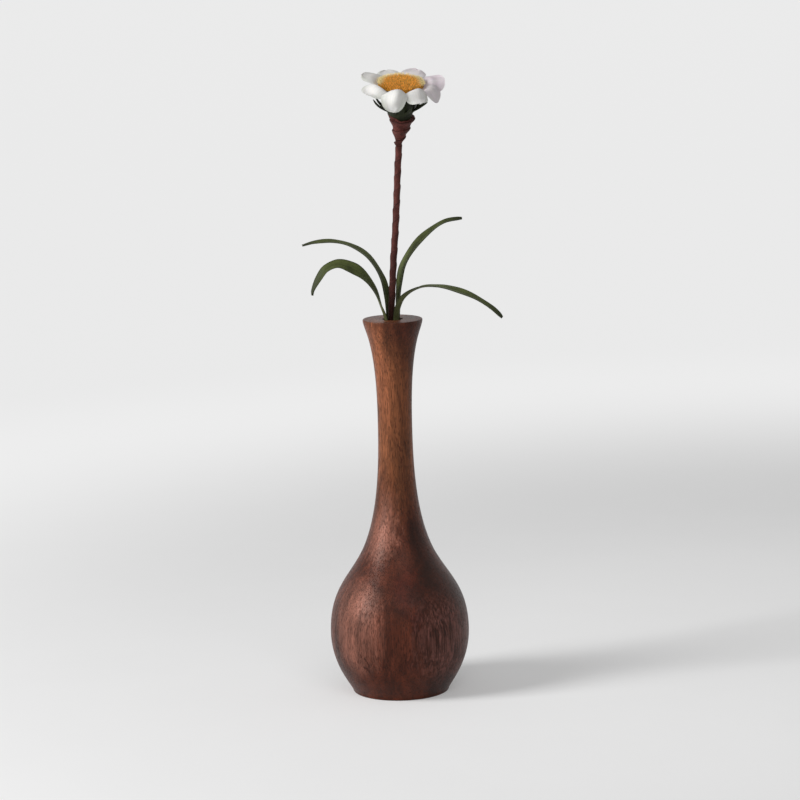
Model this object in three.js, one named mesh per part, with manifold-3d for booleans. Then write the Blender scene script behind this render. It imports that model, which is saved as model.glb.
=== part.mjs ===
// A turned walnut bud vase with one artificial flower standing in its bore.
// Millimetres, +Z up, origin at the centre of the foot; the viewer stands on the -Y side.

import * as THREE from 'three';
import { mergeVertices } from 'three/addons/utils/BufferGeometryUtils.js';
import Module from 'manifold-3d';

const wasm = await Module();
wasm.setup();

// Clearance between pieces that touch
const GAP = 0.3;

// Vase, outside
const VASE_HEIGHT = 150;
const FOOT_RADIUS = 19.2;
const FOOT_EASE = 0.8;
const FOOT_FLARE = 15.6;
const BELLY_RADIUS = 27.6;
const BELLY_HEIGHT = 24.4;
const SHOULDER_RADIUS = 12.95;
const SHOULDER_HEIGHT = 60.1;
const SHOULDER_LEAN = 21.7;
const NECK_RADIUS = 6.8;
const NECK_HEIGHT = 109.7;
const LIP_RADIUS = 11.8;
const LIP_FLARE = 3.9;
const LIP_EASE = 0.4;

// How far each curve of the outside pulls along its own direction, from the foot up
const FOOT_PULL = 2.2;
const BELLY_PULL_DOWN = 13.3;
const BELLY_PULL_UP = 18.75;
const SHOULDER_PULL_DOWN = 14;
const SHOULDER_PULL_UP = 15.9;
const NECK_PULL_DOWN = 14.7;
const NECK_PULL_UP = 32.1;
const LIP_PULL = 4.3;

// Faces round the vase, and along each curve of its outside
const TURNED_SIDES = 48;
const FOOT_STEPS = 7;
const BELLY_STEPS = 12;
const NECK_STEPS = 9;
const LIP_STEPS = 9;

// Vase, bore
const BORE_RADIUS = 4;
const BORE_DEPTH = 108;
const BORE_EASE = 0.5;

// Stem: a wire core in a wound paper tape
const WIRE_RADIUS = 0.45;
const TAPE_RADIUS = 1.37;
const TAPE_WIRE_SHOWS = 1;
const WIRE_IN_CALYX = 3;
const WIRE_SIDES = 8;
const TAPE_SIDES = 12;
const STEM_STEPS = 34;

// Stem route over the mouth, from the photograph: right, back, up
const STEM_ROUTE = [
  [-0.3, 0, 3.1],
  [0.8, 0, 20.9],
  [2.3, 0, 39.8],
  [3.4, -1.5, 58.7],
];
const BUD_FOOT = [4.1, -4, 68.5];

// Tape binding that holds the leaf shanks to the stem, inside the bore
const BINDING_LENGTH = 13;
const BINDING_DROP = 9;
const BINDING_WALL = 0.35;
const SHANK_RADIUS = 0.4;
const SHANK_PAST_BINDING = 3;
const SHANK_OVER_BINDING = 1.5;
const STEM_BEND = 36;

// Leaves: thickness, how hollow a blade is across, and its width at the mouth and at the tip as
// shares of its widest, which lies this share along it
const LEAF_THICKNESS = 0.5;
const LEAF_HOLLOW = 0.45;
const LEAF_BASE_SHARE = 0.55;
const LEAF_TIP_SHARE = 0.25;
const LEAF_WIDEST = 0.45;
const LEAF_STEPS = 14;
const BLADE_SIDES = 8;

// Leaf widths, and leaf routes over the mouth: right, back, up
const UPPER_LEAF_WIDTH = 4.4;
const LOWER_LEFT_WIDTH = 5;
const LOWER_RIGHT_WIDTH = 4.8;
const UPPER_LEFT_ROUTE = [
  [-1.6, 2.3, 0.5],
  [-2.1, 2.6, 8.7],
  [-3.7, 3.3, 15.8],
  [-9.1, 4.5, 24.4],
  [-16, 6.5, 28.7],
  [-23.1, 8, 30.2],
  [-30.3, 9.5, 29.7],
  [-35, 10.5, 28.6],
];
const LOWER_LEFT_ROUTE = [
  [-2.7, -1.6, 0.5],
  [-3.9, -2.1, 4.7],
  [-7, -3, 12.6],
  [-11.5, -4.2, 18.5],
  [-16.1, -5.3, 21.5],
  [-20.8, -6.4, 23],
  [-25.5, -7.6, 21.3],
  [-28.1, -8.3, 18],
  [-30.6, -9, 13.4],
  [-31.2, -9.3, 11.3],
];
const UPPER_RIGHT_ROUTE = [
  [2.3, 1.7, 0.5],
  [2.5, 1.9, 7.1],
  [3.1, 2.2, 13.4],
  [4.6, 3, 20.4],
  [8.8, 4, 27.3],
  [14, 5.2, 32.6],
  [21.2, 6.8, 37.1],
  [28.3, 8.2, 38.2],
];
const LOWER_RIGHT_ROUTE = [
  [1.6, -2.1, 0.5],
  [2.3, -2.6, 4.6],
  [4.5, -3.3, 9],
  [11.1, -4.6, 13.1],
  [18.1, -6, 13.4],
  [25.1, -7.4, 11.9],
  [32, -8.6, 9.2],
  [38.9, -9.8, 4.8],
  [42.9, -10.4, 1],
];

// Each leaf: the place of its shank round the stem, and its turn towards the viewer at the mouth,
// halfway and at the tip, all in degrees
const LEAVES = [
  {
    name: 'leaf_upper_left',
    shank: 117,
    turn: [50, 14, 12],
    width: UPPER_LEAF_WIDTH,
    route: UPPER_LEFT_ROUTE,
  },
  {
    name: 'leaf_lower_left',
    shank: 216,
    turn: [-20, 50, 30],
    width: LOWER_LEFT_WIDTH,
    route: LOWER_LEFT_ROUTE,
  },
  {
    name: 'leaf_upper_right',
    shank: 29,
    turn: [30, 32, 20],
    width: UPPER_LEAF_WIDTH,
    route: UPPER_RIGHT_ROUTE,
  },
  {
    name: 'leaf_lower_right',
    shank: -45,
    turn: [-53, 12, 30],
    width: LOWER_RIGHT_WIDTH,
    route: LOWER_RIGHT_ROUTE,
  },
];

// Flower head: its own axis leans to the viewer and to the right, in degrees
const HEAD_LEAN_FORWARD = 16;
const HEAD_LEAN_RIGHT = 3;

// Wound tape bud under the flower: radii at even heights, from the stem up
const BUD_LENGTH = 12;
const BUD_RADII = [1.5, 1.7, 2.5, 3.4, 4.3, 5.1];
const BUD_RECESS = 0.8;

// Green calyx cup, with its rim's inner radius for the disc
const CALYX_FOOT_RADIUS = 4.2;
const CALYX_HEIGHT = 12;
const CALYX_RIM_RADIUS = 8;
const CALYX_SEAT_RADIUS = 6.3;
const CALYX_SEAT_DEPTH = 1.3;
const CALYX_SWELL = 0.5;

// Sepals round the calyx: where each stands, in degrees from the right, and their shape
const SEPAL_ANGLES = [178, 209, 138, 94, 52, 10, -33, -66, -108];
const SEPAL_OVER_BUD = 3;
const SEPAL_WIDTH = 2;
const SEPAL_THICKNESS = 0.5;
const SEPAL_TIP_SHARE = 0.5;
const SEPAL_REACH = 5.6;
const SEPAL_RISE = 4;

// Petals in order round the flower: where each stands, in degrees from the right, and how steeply
// it falls past its bend, in degrees
const PETAL_LENGTH = 10.2;
const PETAL_WIDTH = 10.4;
const FRONT_PETAL_LENGTH = 11.8;
const RIGHT_PETAL_LENGTH = 11;
const RIGHT_PETAL_WIDTH = 12;
const PETALS = [
  { angle: -102, fall: 76, length: FRONT_PETAL_LENGTH, width: PETAL_WIDTH },
  { angle: -60, fall: 26, length: PETAL_LENGTH, width: PETAL_WIDTH },
  { angle: -20, fall: 54, length: RIGHT_PETAL_LENGTH, width: PETAL_WIDTH },
  { angle: 20, fall: -20, length: RIGHT_PETAL_LENGTH, width: RIGHT_PETAL_WIDTH },
  { angle: 66, fall: 0, length: PETAL_LENGTH, width: PETAL_WIDTH },
  { angle: 110, fall: 2, length: PETAL_LENGTH, width: PETAL_WIDTH },
  { angle: 156, fall: -12, length: PETAL_LENGTH, width: PETAL_WIDTH },
  { angle: 206, fall: 12, length: PETAL_LENGTH, width: PETAL_WIDTH },
];
const PETAL_THICKNESS = 0.4;
const PETAL_EDGE_THINNING = 0.6;
const PETAL_WIDEST = 0.64;
const PETAL_END_POWER = 0.75;
const PETAL_CROWN = 0.6;
const PETAL_LAYERS = 2;
const PETAL_INSET = 0.3;
const PETAL_STEPS = 10;
// Past the disc a petal turns up by the lift, in degrees, over the first length, and down to its
// own fall over the second
const PETAL_LIFT = 35;
const PETAL_LIFT_LENGTH = 1;
const PETAL_BEND = 3.6;

// Golden disc with its stamens
const DISC_RADIUS = 8.9;
const DISC_CROWN = 0.8;
const DISC_FLANGE = 0.5;
const STAMENS = 64;
const STAMEN_LENGTH = 1.3;
const STAMEN_ROOT = 0.4;
const STAMEN_RADIUS = 0.34;
const STAMEN_TAPER = 0.6;
const STAMEN_SPLAY = 29;
const STAMEN_SIDES = 3;

// Faces round the flower's turned pieces and round the binding
const ROUND_SIDES = 24;

// Heights that follow from the sizes above
const boreFloor = VASE_HEIGHT - BORE_DEPTH;
const layerPitch = PETAL_THICKNESS + GAP;
const calyxFoot = BUD_LENGTH - BUD_RECESS + GAP;
const calyxRim = calyxFoot + CALYX_HEIGHT;
const seatFloor = calyxRim - CALYX_SEAT_DEPTH;
const petalStart = CALYX_SEAT_RADIUS + PETAL_INSET;
const petalSlot = DISC_RADIUS + GAP - petalStart;
const discUnder = calyxRim + GAP + PETAL_LAYERS * layerPitch;
const wireHole = WIRE_RADIUS + GAP;
const wireOverBudFoot = calyxFoot + WIRE_IN_CALYX;

const materials = {
  walnut: new THREE.MeshStandardMaterial({ color: '#6b3c28', roughness: 0.5, metalness: 0 }),
  wire: new THREE.MeshStandardMaterial({ color: '#8d8f90', roughness: 0.35, metalness: 1 }),
  tape: new THREE.MeshStandardMaterial({ color: '#5a2a25', roughness: 0.8, metalness: 0 }),
  leaf: new THREE.MeshStandardMaterial({ color: '#4b5a2c', roughness: 0.7, metalness: 0 }),
  calyx: new THREE.MeshStandardMaterial({ color: '#2b3420', roughness: 0.75, metalness: 0 }),
  petal: new THREE.MeshStandardMaterial({ color: '#f1eeec', roughness: 0.75, metalness: 0 }),
  disc: new THREE.MeshStandardMaterial({ color: '#c98a2c', roughness: 0.85, metalness: 0 }),
};

const radians = THREE.MathUtils.degToRad;
const lerp = THREE.MathUtils.lerp;

function piece(name, geometry, material) {
  const mesh = new THREE.Mesh(geometry, material);
  mesh.name = name;
  return mesh;
}

// A turned solid: the outline's points are [radius, height], up the outside first
function turned(outline, sides) {
  const points = outline.map(([radius, height]) => new THREE.Vector2(radius, height));
  return new THREE.LatheGeometry(points, sides).rotateX(Math.PI / 2);
}

// A closed solid through rings of points, each running anticlockwise seen from the far end
function loft(rings) {
  const around = rings[0].length;
  const middle = (ring) => {
    const sum = ring.reduce((total, point) => total.add(point), new THREE.Vector3());
    return sum.divideScalar(around);
  };
  const points = [...rings.flat(), middle(rings[0]), middle(rings.at(-1))];
  const near = points.length - 2;
  const far = points.length - 1;
  const lastRing = (rings.length - 1) * around;
  const faces = [];
  for (let j = 0; j < around; j++) {
    const k = (j + 1) % around;
    for (let start = 0; start < lastRing; start += around) {
      faces.push(start + j, start + k, start + around + k);
      faces.push(start + j, start + around + k, start + around + j);
    }
    faces.push(near, k, j);
    faces.push(far, lastRing + j, lastRing + k);
  }
  const geometry = new THREE.BufferGeometry().setFromPoints(points);
  geometry.setIndex(faces);
  geometry.computeVertexNormals();
  return geometry;
}

// A thin blade along a line. At each share of its length, shape gives the blade's width and
// thickness, the direction across it, and how far its edges rise along a given direction.
function blade(line, shares, shape) {
  return loft(shares.map((share) => {
    const centre = line.getPointAt(share);
    const along = line.getTangentAt(share);
    const { width, thickness, across, rise, edgeLift } = shape(share, centre, along);
    const up = along.clone().cross(across).normalize();
    const ring = [];
    for (let i = 0; i < BLADE_SIDES; i++) {
      const angle = (i / BLADE_SIDES) * 2 * Math.PI;
      const sideways = Math.cos(angle);
      ring.push(centre.clone()
        .addScaledVector(across, (sideways * width) / 2)
        .addScaledVector(up, (Math.sin(angle) * thickness) / 2)
        .addScaledVector(rise, edgeLift * (sideways ** 2 - 0.5)));
    }
    return ring;
  }));
}

// Vase

function curvePoints(from, fromHandle, toHandle, to, steps) {
  const ends = [from, fromHandle, toHandle, to].map((point) => new THREE.Vector2(...point));
  const curve = new THREE.CubicBezierCurve(...ends);
  return curve.getPoints(steps).slice(1).map((point) => [point.x, point.y]);
}

// The end of a handle that leaves a point of the outline at a lean from upright
function handle([radius, height], lean, pull) {
  return [radius + pull * Math.sin(lean), height + pull * Math.cos(lean)];
}

function vaseBody() {
  const foot = [FOOT_RADIUS, FOOT_EASE];
  const footUp = handle(foot, radians(FOOT_FLARE), FOOT_PULL);
  const belly = [BELLY_RADIUS, BELLY_HEIGHT];
  const bellyDown = handle(belly, 0, -BELLY_PULL_DOWN);
  const bellyUp = handle(belly, 0, BELLY_PULL_UP);
  const shoulder = [SHOULDER_RADIUS, SHOULDER_HEIGHT];
  const shoulderDown = handle(shoulder, -radians(SHOULDER_LEAN), -SHOULDER_PULL_DOWN);
  const shoulderUp = handle(shoulder, -radians(SHOULDER_LEAN), SHOULDER_PULL_UP);
  const neck = [NECK_RADIUS, NECK_HEIGHT];
  const neckDown = handle(neck, 0, -NECK_PULL_DOWN);
  const neckUp = handle(neck, 0, NECK_PULL_UP);
  const lip = [LIP_RADIUS, VASE_HEIGHT - LIP_EASE];
  const lipDown = handle(lip, radians(LIP_FLARE), -LIP_PULL);
  return turned([
    [0, 0],
    [FOOT_RADIUS - FOOT_EASE, 0],
    foot,
    ...curvePoints(foot, footUp, bellyDown, belly, FOOT_STEPS),
    ...curvePoints(belly, bellyUp, shoulderDown, shoulder, BELLY_STEPS),
    ...curvePoints(shoulder, shoulderUp, neckDown, neck, NECK_STEPS),
    ...curvePoints(neck, neckUp, lipDown, lip, LIP_STEPS),
    [LIP_RADIUS - LIP_EASE, VASE_HEIGHT],
    [BORE_RADIUS + BORE_EASE, VASE_HEIGHT],
    [BORE_RADIUS, VASE_HEIGHT - BORE_EASE],
    [BORE_RADIUS, boreFloor],
    [0, boreFloor],
  ], TURNED_SIDES);
}

// Stem

const bindingRadius = TAPE_RADIUS + GAP + 2 * SHANK_RADIUS + GAP + BINDING_WALL;
const bindingTop = VASE_HEIGHT - BINDING_DROP;
const bindingFoot = bindingTop - BINDING_LENGTH;
const bindingPlace = -(BORE_RADIUS - GAP - bindingRadius);
const stemLowPlace = -(BORE_RADIUS - GAP - TAPE_RADIUS);

const headTurn = new THREE.Euler(radians(HEAD_LEAN_FORWARD), radians(HEAD_LEAN_RIGHT), 0);
const headAxis = new THREE.Vector3(0, 0, 1).applyEuler(headTurn);
const budFoot = new THREE.Vector3(...BUD_FOOT).add(new THREE.Vector3(0, 0, VASE_HEIGHT));

// The stem stands on the bore's floor, lies along its wall, bends in to the binding and goes up
// through the mouth; its wire then runs straight on through the bud into the calyx.
function stemLine() {
  const points = [];
  const wallTop = bindingFoot - STEM_BEND;
  const wallSteps = 4;
  for (let i = 0; i < wallSteps; i++) {
    points.push(new THREE.Vector3(stemLowPlace, 0, lerp(boreFloor + GAP, wallTop, i / wallSteps)));
  }
  const bendSteps = 5;
  for (let i = 0; i <= bendSteps; i++) {
    const share = i / bendSteps;
    const place = lerp(stemLowPlace, bindingPlace, THREE.MathUtils.smoothstep(share, 0, 1));
    points.push(new THREE.Vector3(place, 0, lerp(wallTop, bindingFoot, share)));
  }
  points.push(new THREE.Vector3(bindingPlace, 0, bindingTop));
  for (const [right, back, up] of STEM_ROUTE) {
    points.push(new THREE.Vector3(right, back, VASE_HEIGHT + up));
  }
  const headSteps = 3;
  for (let i = 0; i <= headSteps; i++) {
    points.push(budFoot.clone().addScaledVector(headAxis, (i / headSteps) * wireOverBudFoot));
  }
  return new THREE.CatmullRomCurve3(points);
}

// The stretch of a line between two lengths from its start
function stretch(line, from, to) {
  const total = line.getLength();
  const points = [];
  for (let i = 0; i <= STEM_STEPS; i++) {
    points.push(line.getPointAt(lerp(from, to, i / STEM_STEPS) / total));
  }
  return new THREE.CatmullRomCurve3(points);
}

function roundSection(radius, hole, sides) {
  const circle = (r) => Array.from({ length: sides }, (_, i) => {
    const angle = (i / sides) * 2 * Math.PI;
    return new THREE.Vector2(r * Math.cos(angle), r * Math.sin(angle));
  });
  const section = new THREE.Shape(circle(radius));
  if (hole) {
    section.holes.push(new THREE.Path(circle(hole).reverse()));
  }
  return section;
}

function stemPieces() {
  const line = stemLine();
  const total = line.getLength();
  const wire = new THREE.ExtrudeGeometry(roundSection(WIRE_RADIUS, 0, WIRE_SIDES), {
    steps: STEM_STEPS,
    extrudePath: stretch(line, 0, total - GAP),
  });
  const tape = new THREE.ExtrudeGeometry(roundSection(TAPE_RADIUS, wireHole, TAPE_SIDES), {
    steps: STEM_STEPS,
    extrudePath: stretch(line, TAPE_WIRE_SHOWS, total - wireOverBudFoot - GAP),
  });
  return [piece('stem_wire', wire, materials.wire), piece('stem_tape', tape, materials.tape)];
}

function leafBinding() {
  const inside = bindingRadius - BINDING_WALL;
  const ring = turned([
    [inside, 0],
    [bindingRadius, 0],
    [bindingRadius, BINDING_LENGTH],
    [inside, BINDING_LENGTH],
    [inside, 0],
  ], ROUND_SIDES);
  const mesh = piece('leaf_binding', ring, materials.tape);
  mesh.position.set(bindingPlace, 0, bindingFoot);
  return mesh;
}

// Leaves

function leafShare(share) {
  if (share < LEAF_WIDEST) {
    return 1 - (1 - LEAF_BASE_SHARE) * (1 - share / LEAF_WIDEST) ** 2;
  }
  const past = (share - LEAF_WIDEST) / (1 - LEAF_WIDEST);
  return Math.sqrt(1 - (1 - LEAF_TIP_SHARE ** 2) * past ** 2);
}

function leaf({ name, shank, width, turn, route }) {
  const fromStem = TAPE_RADIUS + GAP + SHANK_RADIUS;
  const shankRight = bindingPlace + fromStem * Math.cos(radians(shank));
  const shankBack = fromStem * Math.sin(radians(shank));
  const shankFoot = bindingFoot - SHANK_PAST_BINDING;
  const shankTop = bindingTop + SHANK_OVER_BINDING;
  const shankPoints = [0, 0.5, 0.85, 1].map((share) => (
    new THREE.Vector3(shankRight, shankBack, lerp(shankFoot, shankTop, share))
  ));
  const bladePoints = route.map(([right, back, up]) => (
    new THREE.Vector3(right, back, VASE_HEIGHT + up)
  ));
  const line = new THREE.CatmullRomCurve3([...shankPoints, ...bladePoints]);
  const samples = 400;
  const mouth = line.getSpacedPoints(samples).findIndex((p) => p.z > VASE_HEIGHT) / samples;
  const shares = [0, 0.5, 0.72, 0.86, 0.94].map((share) => share * mouth);
  for (let i = 0; i <= LEAF_STEPS; i++) {
    shares.push(lerp(mouth, 1, i / LEAF_STEPS));
  }
  const side = Math.sign(route.at(-1)[0]);
  const back = new THREE.Vector3(0, 1, 0);
  return piece(name, blade(line, shares, (share, centre, along) => {
    const inBlade = Math.max(0, (share - mouth) / (1 - mouth));
    const opened = THREE.MathUtils.smoothstep(centre.z, shankTop, VASE_HEIGHT + GAP);
    const degrees = inBlade < 0.5
      ? lerp(turn[0], turn[1], 2 * inBlade)
      : lerp(turn[1], turn[2], 2 * inBlade - 1);
    const rise = along.clone().cross(back).multiplyScalar(side).normalize();
    const across = back.clone().multiplyScalar(Math.cos(radians(degrees)))
      .addScaledVector(rise, Math.sin(radians(degrees)));
    across.addScaledVector(along, -across.dot(along)).normalize();
    return {
      width: lerp(2 * SHANK_RADIUS, width * leafShare(inBlade), opened),
      thickness: lerp(2 * SHANK_RADIUS, LEAF_THICKNESS, opened),
      across,
      rise,
      edgeLift: LEAF_HOLLOW * opened,
    };
  }), materials.leaf);
}

// Flower head, in its own frame: +Z along its axis, origin at the foot of the bud

function budTape() {
  const outside = BUD_RADII.map((radius, i) => [radius, (i / (BUD_RADII.length - 1)) * BUD_LENGTH]);
  const rim = CALYX_FOOT_RADIUS + GAP;
  const recess = BUD_LENGTH - BUD_RECESS;
  return turned([
    [wireHole, 0],
    ...outside,
    [rim, BUD_LENGTH],
    [rim, recess],
    [wireHole, recess],
    [wireHole, 0],
  ], ROUND_SIDES);
}

// The calyx's outer radius at a share of its height over the bud
function calyxRadius(share) {
  const swell = CALYX_SWELL * Math.sin(Math.PI * share);
  return lerp(CALYX_FOOT_RADIUS, CALYX_RIM_RADIUS, share) + swell;
}

function calyxCup() {
  const steps = 6;
  const side = [];
  for (let i = 0; i <= steps; i++) {
    const share = i / steps;
    side.push([calyxRadius(share), lerp(calyxFoot + BUD_RECESS, calyxRim, share)]);
  }
  const holeTop = wireOverBudFoot + GAP;
  return turned([
    [0, holeTop],
    [wireHole, holeTop],
    [wireHole, calyxFoot],
    [CALYX_FOOT_RADIUS, calyxFoot],
    ...side,
    [CALYX_SEAT_RADIUS, calyxRim],
    [CALYX_SEAT_RADIUS, seatFloor],
    [0, seatFloor],
  ], ROUND_SIDES);
}

// A sepal leaves the calyx level and curves up to its tip; it is widest past its middle
function sepal(angle) {
  const low = BUD_LENGTH + GAP + SEPAL_OVER_BUD;
  const top = (low + SEPAL_THICKNESS - calyxFoot - BUD_RECESS) / (CALYX_HEIGHT - BUD_RECESS);
  const start = calyxRadius(top) + GAP + SEPAL_THICKNESS / 2;
  const out = new THREE.Vector3(Math.cos(radians(angle)), Math.sin(radians(angle)), 0);
  const across = new THREE.Vector3(-out.y, out.x, 0);
  const place = (reach, rise) => out.clone().multiplyScalar(start + reach * SEPAL_REACH)
    .setZ(low + rise * SEPAL_RISE);
  const line = new THREE.CatmullRomCurve3([
    place(0, 0),
    place(0.4, 0.22),
    place(0.76, 0.56),
    place(1, 1),
  ]);
  const shares = [0, 0.15, 0.35, 0.55, 0.75, 0.9, 1];
  return blade(line, shares, (share, centre, along) => ({
    width: SEPAL_WIDTH * (0.3 + 0.7 * Math.sin(Math.PI * (0.2 + 0.75 * share))),
    thickness: SEPAL_THICKNESS * lerp(1, SEPAL_TIP_SHARE, share),
    across,
    rise: along.clone().cross(across),
    edgeLift: 0,
  }));
}

// How steeply the petals' face falls at an angle round the flower: each petal's own fall in its
// middle, and a smooth change to the next one's
function petalFall(degrees) {
  const turned = THREE.MathUtils.euclideanModulo(degrees - PETALS[0].angle, 360) + PETALS[0].angle;
  const next = PETALS.findIndex(({ angle }) => angle > turned);
  const from = PETALS.at(next < 0 ? -1 : next - 1);
  const to = next < 0 ? { ...PETALS[0], angle: PETALS[0].angle + 360 } : PETALS[next];
  const share = (turned - from.angle) / (to.angle - from.angle);
  return lerp(from.fall, to.fall, THREE.MathUtils.smoothstep(share, 0.1, 0.9));
}

// A point on the face that the petals share: a distance along a petal, an angle round the flower,
// and a height over the middle of the layers. The face is level under the disc, turns up past it,
// bends over and then runs straight.
function onPetalFace(distance, angle, over) {
  const fall = radians(petalFall(THREE.MathUtils.radToDeg(angle)));
  const lift = -radians(PETAL_LIFT);
  const spans = [
    [petalSlot, 0, 0],
    [PETAL_LIFT_LENGTH, 0, lift],
    [PETAL_BEND, lift, fall],
    [Infinity, fall, fall],
  ];
  let left = distance;
  let slope = 0;
  let outward = 0;
  let drop = 0;
  for (const [length, first, last] of spans) {
    const run = Math.min(left, length);
    if (run <= 0) break;
    slope = lerp(first, last, run / length);
    const half = (slope - first) / 2 || Number.EPSILON;
    const chord = (run * Math.sin(half)) / half;
    outward += chord * Math.cos(first + half);
    drop += chord * Math.sin(first + half);
    left -= run;
  }
  const middle = calyxRim + GAP + (PETAL_LAYERS * layerPitch - GAP) / 2;
  const radius = petalStart + outward + over * Math.sin(slope);
  const height = middle - drop + over * Math.cos(slope);
  return new THREE.Vector3(radius * Math.cos(angle), radius * Math.sin(angle), height);
}

// A petal's outline is an ellipse whose widest place is moved out and whose ends a power below 1
// makes fuller, cut just short of its tip. Past the disc its edges hang below its middle, most
// where it is widest.
function petal({ angle, length, width }, layer) {
  const across = [1, 0.5, 0, -0.5, -1];
  const lastShare = 0.99;
  const widestPower = Math.log(0.5) / Math.log(PETAL_WIDEST);
  const layerHeight = (layer - (PETAL_LAYERS - 1) / 2) * layerPitch;
  const rings = [];
  for (let i = 1; i <= PETAL_STEPS; i++) {
    const share = Math.min(lastShare, (1 - Math.cos((Math.PI * i) / PETAL_STEPS)) / 2);
    const spread = share ** widestPower;
    const wide = (2 * Math.sqrt(spread * (1 - spread))) ** PETAL_END_POWER;
    const halfWidth = (width / 2) * wide;
    const distance = share * length;
    const radius = petalStart + distance;
    const opened = THREE.MathUtils.smoothstep(distance, petalSlot, length);
    const crown = PETAL_CROWN * opened * wide ** 2;
    const row = (sideways, face) => {
      const edge = sideways ** 2;
      const half = (PETAL_THICKNESS / 2) * (1 - PETAL_EDGE_THINNING * edge);
      const over = layerHeight + face * half - crown * edge;
      return onPetalFace(distance, radians(angle) + (sideways * halfWidth) / radius, over);
    };
    rings.push([
      ...across.map((sideways) => row(sideways, 1)),
      ...across.map((sideways) => row(-sideways, -1)),
    ]);
  }
  return loft(rings);
}

// Joining of closed solids that overlap

function solidOf(geometry) {
  const bare = new THREE.BufferGeometry();
  bare.setAttribute('position', geometry.getAttribute('position').clone());
  bare.setIndex(geometry.index ? geometry.index.clone() : null);
  const merged = mergeVertices(bare);
  return new wasm.Manifold(new wasm.Mesh({
    numProp: 3,
    vertProperties: new Float32Array(merged.getAttribute('position').array),
    triVerts: new Uint32Array(merged.index.array),
  }));
}

function geometryOf(solid) {
  const mesh = solid.getMesh();
  const geometry = new THREE.BufferGeometry();
  geometry.setAttribute('position', new THREE.BufferAttribute(mesh.vertProperties, 3));
  geometry.setIndex(new THREE.BufferAttribute(mesh.triVerts, 1));
  geometry.computeVertexNormals();
  return geometry;
}

// The disc sits in the calyx cup; its flange covers the petal bases, and its stamens are fused to it
function flowerDisc() {
  const plug = CALYX_SEAT_RADIUS - GAP;
  const flangeTop = discUnder + DISC_FLANGE;
  const crownSteps = 5;
  const crown = [];
  for (let i = 0; i < crownSteps; i++) {
    const angle = (i / crownSteps) * (Math.PI / 2);
    crown.push([DISC_RADIUS * Math.cos(angle), flangeTop + DISC_CROWN * Math.sin(angle)]);
  }
  let disc = solidOf(turned([
    [0, seatFloor + GAP],
    [plug, seatFloor + GAP],
    [plug, discUnder],
    [DISC_RADIUS, discUnder],
    ...crown,
    [0, flangeTop + DISC_CROWN],
  ], ROUND_SIDES));
  const goldenAngle = Math.PI * (3 - Math.sqrt(5));
  const tipRadius = STAMEN_TAPER * STAMEN_RADIUS;
  for (let i = 0; i < STAMENS; i++) {
    const share = Math.sqrt((i + 0.5) / STAMENS);
    const radius = share * (DISC_RADIUS - STAMEN_RADIUS);
    const surface = flangeTop + DISC_CROWN * Math.sqrt(1 - (radius / DISC_RADIUS) ** 2);
    const stamen = new THREE.CylinderGeometry(tipRadius, STAMEN_RADIUS, STAMEN_LENGTH, STAMEN_SIDES)
      .translate(0, STAMEN_LENGTH / 2 - STAMEN_ROOT, 0)
      .rotateX(Math.PI / 2)
      .rotateY(radians(STAMEN_SPLAY) * share)
      .translate(radius, 0, surface)
      .rotateZ(i * goldenAngle);
    disc = disc.add(solidOf(stamen));
  }
  return geometryOf(disc);
}

function flowerHead() {
  const head = new THREE.Group();
  head.position.copy(budFoot);
  head.rotation.copy(headTurn);
  head.add(piece('bud_tape', budTape(), materials.tape));
  head.add(piece('calyx_cup', calyxCup(), materials.calyx));
  SEPAL_ANGLES.forEach((angle, i) => head.add(piece(`sepal_${i + 1}`, sepal(angle), materials.calyx)));
  PETALS.forEach((shape, i) => {
    head.add(piece(`petal_${i + 1}`, petal(shape, (i + 1) % PETAL_LAYERS), materials.petal));
  });
  head.add(piece('flower_disc', flowerDisc(), materials.disc));
  return head;
}

const vase = new THREE.Group();
vase.add(piece('vase_body', vaseBody(), materials.walnut));
vase.add(...stemPieces());
vase.add(leafBinding());
vase.add(...LEAVES.map(leaf));
vase.add(flowerHead());

export default vase;
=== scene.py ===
import math
import random

import bpy
from mathutils import Matrix, Vector


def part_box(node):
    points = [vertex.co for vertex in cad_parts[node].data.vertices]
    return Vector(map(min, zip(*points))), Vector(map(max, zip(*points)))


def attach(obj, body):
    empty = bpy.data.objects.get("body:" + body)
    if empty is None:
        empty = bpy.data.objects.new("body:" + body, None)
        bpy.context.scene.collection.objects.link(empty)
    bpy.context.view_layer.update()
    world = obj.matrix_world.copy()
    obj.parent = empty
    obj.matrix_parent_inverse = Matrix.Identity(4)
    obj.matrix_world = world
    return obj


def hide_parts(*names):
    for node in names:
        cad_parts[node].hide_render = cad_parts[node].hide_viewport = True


bl_info = {
    "name": "Turned Bud Vase",
    "version": (1, 0, 0),
    "blender": (4, 5, 0),
    "location": "3D View > Sidebar > Bud Vase",
    "description": "Dresses a turned walnut bud vase and its flower over their packed frame",
    "category": "Object",
}

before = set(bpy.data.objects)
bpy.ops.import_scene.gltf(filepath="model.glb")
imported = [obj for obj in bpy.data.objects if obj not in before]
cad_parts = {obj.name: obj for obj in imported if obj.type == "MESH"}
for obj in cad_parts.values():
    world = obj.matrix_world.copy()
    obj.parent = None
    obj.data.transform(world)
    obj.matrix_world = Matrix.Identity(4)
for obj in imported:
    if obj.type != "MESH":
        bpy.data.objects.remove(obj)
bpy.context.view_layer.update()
_, VASE_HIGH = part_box("vase_body")
VASE_HEIGHT = VASE_HIGH.z

# Clearance between pieces that touch, in metres like every size here
GAP = 0.0003

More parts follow.
